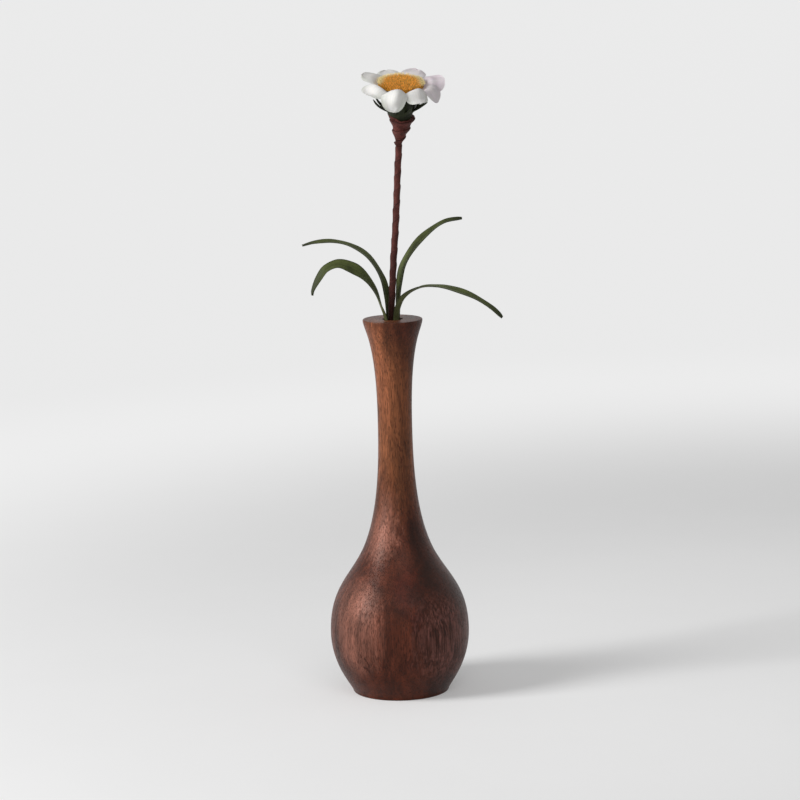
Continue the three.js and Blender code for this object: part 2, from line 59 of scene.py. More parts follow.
# The vase's outline from the foot up: its leans from upright, how far each curve pulls along
# them, the rounding of its edges, and the rows of points on each curve
FOOT_FLARE = math.radians(15.6)
SHOULDER_LEAN = math.radians(21.7)
LIP_FLARE = math.radians(3.9)
FOOT_PULL = 0.0022
BELLY_PULL_DOWN = 0.0133
BELLY_PULL_UP = 0.01875
SHOULDER_PULL_DOWN = 0.014
SHOULDER_PULL_UP = 0.0159
NECK_PULL_DOWN = 0.0147
NECK_PULL_UP = 0.0321
LIP_PULL = 0.0043
EDGE_EASE = 0.0004
FOOT_EASE = 0.0008
VASE_SIDES = 192
VASE_ROWS = (20, 36, 28, 28)
FOOT_FLAT_SHARE = 0.6

# Stem route over the mouth and the foot of the bud: right, back, up
STEM_ROUTE = (
    (-0.0003, 0, 0.0031),
    (0.0008, 0, 0.0209),
    (0.0023, 0, 0.0398),
    (0.0034, -0.0015, 0.0587),
)
BUD_FOOT = Vector((0.0041, -0.004, 0.0685))
WIRE_OVER_BUD_FOOT = 0.0145
STEM_BEND = 0.036
STEM_RINGS = 620
STEM_SIDES = 28

# The tape: how much wire shows under it, the share of its edge that stands past the stem's
# radius, and how many turns go by before their slips repeat
TAPE_SHOWS_WIRE = 0.001
TAPE_PAST_RADIUS = 0.3
TAPE_SLIPS = 64

# Tape binding inside the bore, and the leaf shanks that it holds
BINDING_DROP = 0.009
BINDING_LENGTH = 0.013
BINDING_WALL = 0.00035
BINDING_WINDING = 0.0045
BINDING_TAPE_STEP = 0.00012
BINDING_RINGS = 60
BINDING_SIDES = 48
SHANK_RADIUS = 0.0004
SHANK_PAST_BINDING = 0.003
SHANK_OVER_BINDING = 0.0015

# Leaf blades: how deep they are hollowed and waved, their width at the mouth and the tip as
# shares of the widest, where they are widest and where the point starts as shares of the length,
# and the groove, as shares of half the thickness and half the width
LEAF_HOLLOW = 0.00045
LEAF_WAVE = 0.00016
LEAF_BASE_SHARE = 0.55
LEAF_TIP_SHARE = 0.25
LEAF_WIDEST = 0.45
LEAF_POINT = 0.965
LEAF_GROOVE_DEPTH = 0.55
LEAF_GROOVE_WIDTH = 0.13
LEAF_COLUMNS = 26
SHANK_RINGS = 24
BLADE_RINGS = 110

# Leaf routes over the mouth, with each leaf's shank round the stem and its turn towards the
# viewer at the mouth, halfway and at the tip, in degrees
LEAVES = (
    {
        "node": "leaf_upper_left",
        "width": "upper_leaf_width",
        "shank": 117,
        "turn": (50, 14, 12),
        "route": (
            (-0.0016, 0.0023, 0.0005),
            (-0.0021, 0.0026, 0.0087),
            (-0.0037, 0.0033, 0.0158),
            (-0.0091, 0.0045, 0.0244),
            (-0.016, 0.0065, 0.0287),
            (-0.0231, 0.008, 0.0302),
            (-0.0303, 0.0095, 0.0297),
            (-0.035, 0.0105, 0.0286),
        ),
    },
    {
        "node": "leaf_lower_left",
        "width": "lower_left_width",
        "shank": 216,
        "turn": (-20, 50, 30),
        "route": (
            (-0.0027, -0.0016, 0.0005),
            (-0.0039, -0.0021, 0.0047),
            (-0.007, -0.003, 0.0126),
            (-0.0115, -0.0042, 0.0185),
            (-0.0161, -0.0053, 0.0215),
            (-0.0208, -0.0064, 0.023),
            (-0.0255, -0.0076, 0.0213),
            (-0.0281, -0.0083, 0.018),
            (-0.0306, -0.009, 0.0134),
            (-0.0312, -0.0093, 0.0113),
        ),
    },
    {
        "node": "leaf_upper_right",
        "width": "upper_leaf_width",
        "shank": 29,
        "turn": (30, 32, 20),
        "route": (
            (0.0023, 0.0017, 0.0005),
            (0.0025, 0.0019, 0.0071),
            (0.0031, 0.0022, 0.0134),
            (0.0046, 0.003, 0.0204),
            (0.0088, 0.004, 0.0273),
            (0.014, 0.0052, 0.0326),
            (0.0212, 0.0068, 0.0371),
            (0.0283, 0.0082, 0.0382),
        ),
    },
    {
        "node": "leaf_lower_right",
        "width": "lower_right_width",
        "shank": -45,
        "turn": (-53, 12, 30),
        "route": (
            (0.0016, -0.0021, 0.0005),
            (0.0023, -0.0026, 0.0046),
            (0.0045, -0.0033, 0.009),
            (0.0111, -0.0046, 0.0131),
            (0.0181, -0.006, 0.0134),
            (0.0251, -0.0074, 0.0119),
            (0.032, -0.0086, 0.0092),
            (0.0389, -0.0098, 0.0048),
            (0.0429, -0.0104, 0.001),
        ),
    },
)

# Flower head: its own axis leans to the viewer and to the right
HEAD_TURN = (
    Matrix.Rotation(math.radians(16), 4, "X") @ Matrix.Rotation(math.radians(3), 4, "Y")
)
BUD_LENGTH = 0.012
BUD_RADII = (0.0015, 0.002, 0.0029, 0.0036, 0.0043, 0.0053)
BUD_CROOK = 0.0006
BUD_LEFT_LIFT = 0.0015
BUD_LEFT_FLARE = 0.0006
BUD_LEFT = math.radians(190)
BUD_RECESS = 0.0008
BUD_RINGS = 90
BUD_SIDES = 72

# The bud's tape: its rise in one turn, how many of the stem's tape steps its edge stands proud,
# and the ragged rim's rings, with each wave's height, number and start
BUD_WINDING = 0.0042
BUD_TAPE_STEPS = 3.2
BUD_RIM_RINGS = 16
BUD_RIM_WAVES = ((0.0002, 2, 0.6), (0.00015, 5, 0), (0.0001, 9, 1))

# Calyx: its foot, rim and seat for the disc, how far its side swells, and its faint lobes
CALYX_FOOT_RADIUS = 0.0042
CALYX_HEIGHT = 0.012
CALYX_RIM_RADIUS = 0.008
CALYX_SEAT_RADIUS = 0.0063
CALYX_SEAT_DEPTH = 0.0013
CALYX_SWELL = 0.0005
CALYX_LOBES = 9
CALYX_LOBE_DEPTH = 0.00012
CALYX_ROWS = 28
CALYX_SIDES = 120

# Sepals: where each stands in degrees, how far it reaches out, how far it rises, how far its blade
# turns about its own line in degrees, and how much of its line is curved
SEPALS = (
    (178, 0.0042, 0.005, -8, 1.0),
    (209, 0.0066, 0.006, 14, 0.8),
    (138, 0.0046, 0.0044, 0, 1.0),
    (94, 0.0052, 0.0044, 0, 1.0),
    (52, 0.0052, 0.0044, -20, 1.0),
    (10, 0.0026, 0.0042, 20, 1.0),
    (-33, 0.0067, 0.0056, 47, -0.3),
    (-66, 0.0046, 0.0044, 10, 1.0),
    (-108, 0.0046, 0.0044, 0, 1.0),
)
SEPAL_OVER_BUD = 0.003
SEPAL_IN_CALYX = 0.0004
SEPAL_CUP = 0.0002
SEPAL_RINGS = 40
SEPAL_SIDES = 20

# Petals: where they are widest and how deep the notch in the tip is, as shares of the length, how
# full their ends are, and how far they crown, rise over the disc's edge, bend and pleat
PETAL_WIDEST = 0.64
PETAL_NOTCH = 0.05
PETAL_END_POWER = 0.75
PETAL_CROWN = 0.0006
PETAL_LAYERS = 2
PETAL_INSET = 0.0003
PETAL_LIFT = math.radians(35)
PETAL_LIFT_LENGTH = 0.001
PETAL_BEND = 0.0036
PETAL_PLEAT = 0.00005
PETAL_ROWS = 52
PETAL_COLUMNS = 36

# Disc: how high its dome and its edge are
DISC_CROWN = 0.0008
DISC_FLANGE = 0.0005
DISC_ROWS = 14
DISC_SIDES = 96

# Stamens: how deep they stand in the disc, how far out they grow as a share of its radius, how far
# they curl as a share of their length, and their thickness from the foot to the tip
STAMEN_ROOT = 0.0003
STAMEN_SPREAD = 0.965
STAMEN_CURL = 0.12
STAMEN_PROFILE = ((0, 1.0), (0.5, 0.72), (0.78, 0.75), (0.9, 1.15), (1.0, 0.6))
STAMEN_SIDES = 5


def petal_of(
    angle, fall, arch, tint, lobe=0.0,
    root=0.47, neck=1.0, skew=0.0, length="length", width="width",
):
    """One petal's values.

    angle is where it stands and fall how steeply it hangs, in degrees. arch is how far it rises
    over the disc's edge and lobe how far its middle swells. root is half the angle that it takes
    up at the disc, in radians. neck narrows it there, and skew turns its tip aside, in degrees.
    tint is its share of the lilac, and length and width name its sizes.
    """
    return {
        "angle": angle, "fall": fall, "arch": arch, "tint": tint, "lobe": lobe, "root": root,
        "neck": neck, "skew": skew, "length": length, "width": width,
    }


# Petals in order round the flower
PETALS = (
    petal_of(
        -95, 76, 0.0018, 0.0, 0.0014, root=0.28, neck=0.72, skew=-8, length="front_length"
    ),
    petal_of(-60, 26, 0.0022, 0.1, 0.0006),
    petal_of(-20, 60, 0.0002, 0.75, 0.0005, length="right_length"),
    petal_of(18, -14, 0.0008, 1.0, 0.0004, length="right_length", width="right_width"),
    petal_of(66, 0, 0.0002, 0.65),
    petal_of(110, 2, 0.0002, 0.1),
    petal_of(156, -12, 0.0005, 0.1),
    petal_of(216, 12, 0.002, 0.1, 0.0005, root=0.58, skew=-4, width="right_width"),
)

# Camera, fitted to the photograph: focal length in sensor widths, place, and turns in degrees
CAMERA_SENSOR = 36
CAMERA_LENS = 4.375 * CAMERA_SENSOR
CAMERA_PLACE = (0.0022, -1.3616, 0.3559)
CAMERA_PITCH = 9.932
CAMERA_ROLL = 1.352

# Half the floor's side, and in millimetres the middle of its fade, where it starts and ends
FLOOR_REACH = 30
FLOOR_MIDDLE = (200, 60, 0)
FLOOR_FADE = (120, 800)

# Each lamp's place and size
KEY_LAMP = ((-1.0, -0.42, 0.62), (0.42, 0.7))
FILL_LAMP = ((0.25, -1.1, 1.0), (0.9, 0.7))

# Seeds of the random draws
STEM_SEED = 11
BUD_SEED = 23
PETAL_SEED = 7
STAMEN_SEED = 3


def length_of(label, text, metres):
    """A length that a user can change."""
    return bpy.props.FloatProperty(
        name=label, description=text, default=metres, min=0, unit="LENGTH", precision=5
    )


def colour_of(label, text, colour):
    """A colour that a user can change, in linear light."""
    return bpy.props.FloatVectorProperty(
        name=label, description=text, default=colour, size=3, min=0, max=1, subtype="COLOR"
    )


class VaseSizes(bpy.types.PropertyGroup):
    """Sizes of the turned body."""

    height: length_of("Height", "From the foot to the lip", VASE_HEIGHT)
    foot_radius: length_of("Foot radius", "Radius of the flat foot", 0.0192)
    belly_radius: length_of("Belly radius", "Widest radius of the body", VASE_HIGH.x)
    belly_height: length_of("Belly height", "Where the body is widest", 0.0244)
    shoulder_radius: length_of("Shoulder radius", "Radius where the belly turns", 0.01295)
    shoulder_height: length_of("Shoulder height", "Where the belly turns", 0.0601)
    neck_radius: length_of("Neck radius", "Narrowest radius of the neck", 0.0068)
    neck_height: length_of("Neck height", "Where the neck is narrowest", 0.1097)
    lip_radius: length_of("Lip radius", "Radius of the top face", 0.0118)
    bore_radius: length_of("Bore radius", "Radius of the drilled bore", 0.004)
    bore_depth: length_of("Bore depth", "Depth of the drilled bore", 0.108)


class SpraySizes(bpy.types.PropertyGroup):
    """Sizes of the stem and its leaves."""

    tape_radius: length_of("Stem radius", "Outer radius of the wound stem", 0.00137)
    wire_radius: length_of("Wire radius", "Radius of the stem's wire", 0.00045)
    winding: length_of("Winding", "Rise of the tape in one turn", 0.0062)
    tape_step: length_of("Tape step", "How proud a tape edge stands", 0.00016)
    leaf_thickness: length_of("Leaf thickness", "Thickness of a leaf", 0.0005)
    upper_leaf_width: length_of("Upper leaf width", "Width of the two upper leaves", 0.0044)
    lower_left_width: length_of("Lower left width", "Width of the lower left leaf", 0.005)
    lower_right_width: length_of("Lower right width", "Width of the lower right leaf", 0.0048)


class FlowerSizes(bpy.types.PropertyGroup):
    """Sizes of the flower head."""

    sepal_width: length_of("Sepal width", "Widest width of a sepal", 0.0018)
    sepal_thickness: length_of("Sepal thickness", "Thickness of a sepal at its root", 0.001)
    length: length_of("Petal length", "From the calyx to the tip", 0.0102)
    front_length: length_of("Front petal length", "Length of the hanging petal", 0.0118)
    right_length: length_of("Right petal length", "Length of the two right petals", 0.0112)
    width: length_of("Petal width", "Widest width of a petal", 0.0104)
    right_width: length_of("Broad petal width", "Width of the two broad petals", 0.0132)
    petal_thickness: length_of("Petal thickness", "Thickness of a petal", 0.0004)
    petal_ruffle: length_of("Petal ruffle", "How far a petal's edge waves", 0.0004)
    disc_radius: length_of("Disc radius", "Radius of the golden disc", 0.0089)
    stamen_length: length_of("Stamen length", "Length of a stamen at the rim", 0.0013)
    stamen_radius: length_of("Stamen radius", "Radius of a stamen's foot", 0.00015)
    stamens: bpy.props.IntProperty(
        name="Stamens", description="How many stamens the disc holds", default=1100, min=1
    )


class FinishColours(bpy.types.PropertyGroup):
    """Colours of the finishes."""

    walnut: colour_of("Walnut", "Earlywood of the vase", (0.074, 0.018, 0.009))
    walnut_dark: colour_of("Dark walnut", "Latewood lines and dashes", (0.04, 0.008, 0.004))
    # Dark mineral streaks, also the painted shade at the right of the vase
    walnut_streak_shade: colour_of("Dark streak", "Mineral streaks", (0.028, 0.007, 0.004))
    walnut_stripe: colour_of("Pale stripe", "Pale stripes at the right", (0.2, 0.08, 0.066))
    # Paler pinkish wood, also the painted sheen of the lamp at the left of the vase
    walnut_pale_sheen: colour_of("Pale walnut", "Paler pinkish wood", (0.27, 0.11, 0.077))
    walnut_warm: colour_of("Warm walnut", "Orange-brown of the neck", (0.2, 0.07, 0.028))
    # Orange-brown wood, painted lighter as the lit left side of the neck and lip
    walnut_rim_lit: colour_of("Rim walnut", "Orange-brown at the left of the lip", (0.3, 0.1, 0.045))
    walnut_smooth: colour_of("Even walnut", "Even brown over the foot", (0.088, 0.018, 0.007))
    walnut_red: colour_of("Red walnut", "Dark reddish patch", (0.045, 0.007, 0.004))
    tape: colour_of("Tape", "Crepe paper tape", (0.09, 0.026, 0.021))
    tape_edge: colour_of("Tape edge", "Shaded edge of the tape", (0.022, 0.006, 0.005))
    leaf: colour_of("Leaf", "Upper face of the leaves", (0.06, 0.073, 0.021))
    leaf_under: colour_of("Leaf underside", "Lower face of the leaves", (0.095, 0.104, 0.042))
    leaf_edge: colour_of("Leaf edge", "Dark edges and tips", (0.014, 0.017, 0.007))
    calyx: colour_of("Calyx", "Cup and sepals", (0.015, 0.019, 0.007))
    petal: colour_of("Petal", "White of the petals", (0.73, 0.72, 0.69))
    petal_blush: colour_of("Petal blush", "Lilac tint of some petals", (0.72, 0.62, 0.67))
    # Painted greenish shade at the petals' sides, towards their tips
    petal_painted_shade: colour_of("Petal shade", "Greenish white by the calyx", (0.54, 0.59, 0.48))
    stamen: colour_of("Stamen", "Golden stamens", (0.9, 0.42, 0.04))
    stamen_tip: colour_of("Stamen tip", "Pale tips of the stamens", (0.92, 0.78, 0.4))
    stamen_rim: colour_of("Rim stamen", "Yellow-green stamens at the rim", (0.5, 0.44, 0.15))


class StageSettings(bpy.types.PropertyGroup):
    """Floor and lamps."""

    floor: colour_of("Floor", "Pale floor and backdrop", (0.8, 0.8, 0.8))
    floor_glow: bpy.props.FloatProperty(
        name="Floor glow", description="Own light of the floor near the vase", default=0.25, min=0
    )
    key_power: bpy.props.FloatProperty(
        name="Key lamp", description="Soft lamp at the left", default=13, min=0, unit="POWER"
    )
    fill_power: bpy.props.FloatProperty(
        name="Fill lamp", description="Soft lamp over the viewer", default=4, min=0, unit="POWER"
    )
    ambient: bpy.props.FloatProperty(
        name="Ambient", description="Even light from all round", default=0.25, min=0
    )


# Shapes


def mix(a, b, share):
    """The value that lies at a share of the way between two."""
    return a + (b - a) * share


def ease(value, low, high):
    """0 below low and 1 above high, with a smooth rise between them."""
    share = min(1, max(0, (value - low) / (high - low)))
    return share * share * (3 - 2 * share)


def curve_points(start, start_handle, end_handle, end, steps):
    """Points after the start along a cubic curve of [radius, height] points."""
    points = []
    for i in range(1, steps + 1):
        t = i / steps
        weights = ((1 - t) ** 3, 3 * t * (1 - t) ** 2, 3 * t * t * (1 - t), t**3)
        corners = (start, start_handle, end_handle, end)
        points.append(tuple(sum(w * c[k] for w, c in zip(weights, corners)) for k in (0, 1)))
    return points


def handle(point, lean, pull):
    """The end of a handle that leaves an outline's point at a lean from upright."""
    return point[0] + pull * math.sin(lean), point[1] + pull * math.cos(lean)


def rounded(corner, radius, start, end, steps=5):
    """Points of a round edge about a centre, between two angles in degrees."""
    angles = [math.radians(mix(start, end, i / steps)) for i in range(steps + 1)]
    return [
        (corner[0] + radius * math.cos(a), corner[1] + radius * math.sin(a)) for a in angles
    ]


def turned(outline, sides):
    """Points and faces of a turned solid. Its outline runs up the outside first."""
    points, rows = [], []
    for radius, height in outline:
        first = len(points)
        if radius == 0:
            points.append(Vector((0, 0, height)))
            rows.append([first] * sides)
            continue
        for i in range(sides):
            angle = i / sides * math.tau
            points.append(Vector((radius * math.cos(angle), radius * math.sin(angle), height)))
        rows.append(list(range(first, first + sides)))
    if outline[0][0] > 0:
        rows.append(rows[0])
    faces = []
    for low, high in zip(rows, rows[1:]):
        for i in range(sides):
            j = (i + 1) % sides
            corners = dict.fromkeys((low[i], low[j], high[j], high[i]))
            faces.append(tuple(corners))
    return points, faces


def circle(place, side, other, radius, sides):
    """Points of a circle about a place, in the plane of two directions."""
    angles = [i / sides * math.tau for i in range(sides)]
    return [place + (side * math.cos(a) + other * math.sin(a)) * radius for a in angles]


def loft(rings):
    """Points and faces of a closed solid through rings of points."""
    around = len(rings[0])
    points = [p for ring in rings for p in ring]
    points += [sum(ring, Vector()) / around for ring in (rings[0], rings[-1])]
    near, far = len(points) - 2, len(points) - 1
    last = (len(rings) - 1) * around
    faces = []
    for j in range(around):
        k = (j + 1) % around
        for start in range(0, last, around):
            faces.append((start + j, start + k, start + around + k, start + around + j))
        faces.append((near, k, j))
        faces.append((far, last + j, last + k))
    return points, faces


def smooth_line(points, steps=24):
    """Points along one smooth curve through the given points."""
    ends = [2 * points[0] - points[1], *points, 2 * points[-1] - points[-2]]
    line = []
    for a, b, c, d in zip(ends, ends[1:], ends[2:], ends[3:]):
        ab, bc, cd = (math.sqrt((q - p).length) for p, q in ((a, b), (b, c), (c, d)))
        leave = ((b - a) / ab - (c - a) / (ab + bc) + (c - b) / bc) * bc
        arrive = ((c - b) / bc - (d - b) / (bc + cd) + (d - c) / cd) * bc
        for i in range(steps):
            t = i / steps
            square, cube = (-3 * b + 3 * c - 2 * leave - arrive), (2 * b - 2 * c + leave + arrive)
            line.append(b + leave * t + square * t * t + cube * t**3)
    line.append(points[-1])
    return line


class Route:
    """A line that gives its place and direction at a length from its start."""

    def __init__(self, points):
        self.points = smooth_line(points)
        self.lengths = [0.0]
        for p, q in zip(self.points, self.points[1:]):
            self.lengths.append(self.lengths[-1] + (q - p).length)
        self.total = self.lengths[-1]

    def place(self, length):
        """The point that lies at this length."""
        low, high = 0, len(self.lengths) - 1
        while high - low > 1:
            middle = (low + high) // 2
            if self.lengths[middle] > length:
                high = middle
            else:
                low = middle
        span = self.lengths[high] - self.lengths[low]
        share = (length - self.lengths[low]) / span
        return self.points[low].lerp(self.points[high], min(1, max(0, share)))

    def direction(self, length):
        """The line's direction at this length."""
        step = self.total / 2000
        ahead = self.place(min(self.total, length + step))
        return (ahead - self.place(max(0, length - step))).normalized()

    def frames(self, start, end, steps):
        """(length, place, direction, side) at even steps, with sides that don't twist."""
        side = None
        made = []
        for i in range(steps + 1):
            length = mix(start, end, i / steps)
            along = self.direction(length)
            side = Vector((1, 0, 0)) if side is None else side
            side = (side - along * side.dot(along)).normalized()
            made.append((length, self.place(length), along, side))
        return made


def make_piece(name, shape, finish, body, slot, replaced, marks=None, sharp=40):
    """A piece in metres that rides on a body and stands for CAD nodes.

    marks holds values at the points, by name, which the finish reads.
    """
    points, faces = shape
    mesh = bpy.data.meshes.new(name)
    mesh.from_pydata(points, [], faces)
    for mark, values in (marks or {}).items():
        mesh.attributes.new(mark, "FLOAT", "POINT").data.foreach_set("value", values)
    mesh.shade_smooth()
    mesh.set_sharp_from_angle(angle=math.radians(sharp))
    mesh.materials.append(finish)
    made = bpy.data.objects.new(name, mesh)
    bpy.context.scene.collection.objects.link(made)
    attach(made, body)
    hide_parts(*replaced)
    return made


def dress(node, finish):
    """Gives a CAD node that stays its finish."""
    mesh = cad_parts[node].data
    mesh.materials.clear()
    mesh.materials.append(finish)


# Finishes


class Nodes:
    """A node tree while it is put together."""

    def __init__(self, tree):
        self.tree = tree

    def node(self, kind, inputs=(), **settings):
        """Adds a node; inputs gives sockets or values by the input's name or number."""
        made = self.tree.nodes.new("ShaderNode" + kind)
        for key, value in settings.items():
            setattr(made, key, value)
        for key, value in dict(inputs).items():
            self.feed(made.inputs[key], value)
        return made

    def feed(self, socket, value):
        """Links a socket, or sets a value."""
        if isinstance(value, bpy.types.NodeSocket):
            self.tree.links.new(value, socket)
        elif socket.type == "RGBA" and len(value) == 3:
            socket.default_value = (*value, 1)
        else:
            socket.default_value = value

    def math(self, operation, a, b=0.0):
        """One step of arithmetic."""
        return self.node("Math", {0: a, 1: b}, operation=operation).outputs[0]

    def seen(self):
        """1 for what the camera sees, in gloss and through glass too, and 0 for other light."""
        rays = self.node("LightPath").outputs
        direct = self.math("MAXIMUM", rays["Is Camera Ray"], rays["Is Glossy Ray"])
        return self.math("MAXIMUM", direct, rays["Is Transmission Ray"])


class Finish(Nodes):
    """A material while its nodes are put together."""

    def __init__(self, name):
        self.material = bpy.data.materials.new(name)
        self.material.use_nodes = True
        super().__init__(self.material.node_tree)
        self.shader = self.tree.nodes["Principled BSDF"]

    def coordinates(self):
        """The piece's own coordinates in millimetres."""
        place = self.node("TexCoord").outputs["Object"]
        return self.stretched(place, (1000, 1000, 1000))

    def stretched(self, vector, scale):
        """Coordinates stretched along their axes."""
        return self.node("Mapping", {"Vector": vector, "Scale": scale}).outputs[0]

    def mark(self, name):
        """A value that the mesh keeps at its points."""
        return self.node("Attribute", attribute_name=name).outputs["Fac"]

    def times(self, a, b):
        """The product of two values."""
        return self.math("MULTIPLY", a, b)

    def less(self, value, share):
        """1 less a share of a value."""
        return self.math("SUBTRACT", 1.0, self.times(value, share))

    def vector(self, operation, a, b):
        """One step of arithmetic on vectors."""
        return self.node("VectorMath", {0: a, 1: b}, operation=operation).outputs[0]

    def length(self, vector):
        """How long a vector is."""
        return self.node("VectorMath", {0: vector}, operation="LENGTH").outputs["Value"]

    def noise(self, vector, scale=1.0, detail=2.0, roughness=0.5, colour=False):
        """Cloudy noise, from 0 to 1, or three of them as a colour."""
        inputs = {"Vector": vector, "Scale": scale, "Detail": detail, "Roughness": roughness}
        return self.node("TexNoise", inputs).outputs["Color" if colour else "Fac"]

    def grain(self, place, stretch, detail=2.0, roughness=0.5, colour=False):
        """Noise on coordinates that are stretched along their axes."""
        return self.noise(self.stretched(place, stretch), 1, detail, roughness, colour)

    def wander(self, place, stretch, reach, detail=2.0, roughness=0.5):
        """A shift that changes from place to place, up to half its reach each way."""
        cloud = self.grain(place, stretch, detail, roughness, colour=True)
        cloud = self.vector("SUBTRACT", cloud, (0.5, 0.5, 0.5))
        return self.node("VectorMath", {0: cloud, "Scale": reach}, operation="SCALE").outputs[0]

    def rise(self, value, low, high, bottom=0.0, top=1.0):
        """Maps low to high onto bottom to top, smoothly and no further."""
        inputs = {"Value": value, 1: low, 2: high, 3: bottom, 4: top}
        return self.node("MapRange", inputs, interpolation_type="SMOOTHSTEP").outputs[0]

    def blend(self, factor, a, b, how="MIX"):
        """Mixes two colours."""
        inputs = {0: factor, 6: a, 7: b}
        return self.node("Mix", inputs, data_type="RGBA", blend_type=how).outputs[2]

    def shade(self, colour, level):
        """Multiplies a colour by a level."""
        grey = self.node("CombineColor", {0: level, 1: level, 2: level}).outputs[0]
        return self.blend(1.0, colour, grey, "MULTIPLY")

    def vary(self, colour, value, low, high, bottom, top):
        """Multiplies a colour by a level that follows a value."""
        return self.shade(colour, self.rise(value, low, high, bottom, top))

    def bump(self, height, distance, strength):
        """Raises the surface by a height from 0 to 1 times a distance in metres."""
        inputs = {"Height": height, "Distance": distance, "Strength": strength}
        return self.node("Bump", inputs).outputs[0]

    def finish(self, colour, roughness, normal=None, **constants):
        """Feeds the shader. Constants are set on its own sockets."""
        self.feed(self.shader.inputs["Base Color"], colour)
        self.feed(self.shader.inputs["Roughness"], roughness)
        if normal is not None:
            self.feed(self.shader.inputs["Normal"], normal)
        for key, value in constants.items():
            self.feed(self.shader.inputs[key.replace("_", " ")], value)
        return self.material


# Regions of the walnut with a look of their own, some of them painted light and shade: middle and
# half extent, in millimetres
# Dark streaks at the right, which also paint the shade on that side and low on the belly at the
# right
STREAK_SHADE_REGIONS = (
    ((14, -14, 50), (9, 11, 14)),
    ((24, -8, 40), (7, 10, 13)),
    ((6, -8, 62), (5, 8, 13)),
    ((17, -17, 6), (9, 12, 8)),
)
RED_REGIONS = (
    ((3, -20, 45), (8, 10, 13)),
    ((8, -24, 33), (4, 8, 8)),
)
# Paler wood at the left, which also paints the lamp's sheen on the belly and on the shoulder
PALE_SHEEN_REGIONS = (
    ((-17, -17, 29), (12, 15, 22)),
    ((-8, -9, 68), (7, 9, 18)),
)
# Orange-brown wood at the left of the neck and lip, painted lighter there as the lit side
RIM_LIT_REGIONS = (((-7, -6, 128), (7, 8, 26)),)
WARM_REGIONS = (((-2, 0, 112), (14, 15, 60)),)
SMOOTH_REGIONS = (((-2, -20, 4), (24, 20, 10)),)
STRIPED_REGIONS = (((18, -18, 25), (17, 19, 22)),)
DASHED_REGIONS = (
    ((-12, -22, 16), (13, 9, 5)),
    ((3, -24, 19), (9, 8, 7)),
    ((0, -9, 96), (2.5, 9, 26)),
)

# Where a region starts to fade and where it ends, as shares of its half extent
REGION_EDGE = (0.35, 1.15)

# The pith behind the vase, the space between growth rings, how far the grain sways, and how far
# the fibres break up a region's edge, in millimetres
PITH = (12, 52, 0)
RING_SPACE = 3.4
SWAY = 15
FRAY = 11


def region(finish, place, regions):
    """1 in the middle of a region and 0 outside of all of them."""
    found = None
    for middle, extent in regions:
        near = finish.vector("DIVIDE", finish.vector("SUBTRACT", place, middle), extent)
        inside = finish.rise(finish.length(near), *REGION_EDGE, 1.0, 0.0)
        found = inside if found is None else finish.math("MAXIMUM", found, inside)
    return found


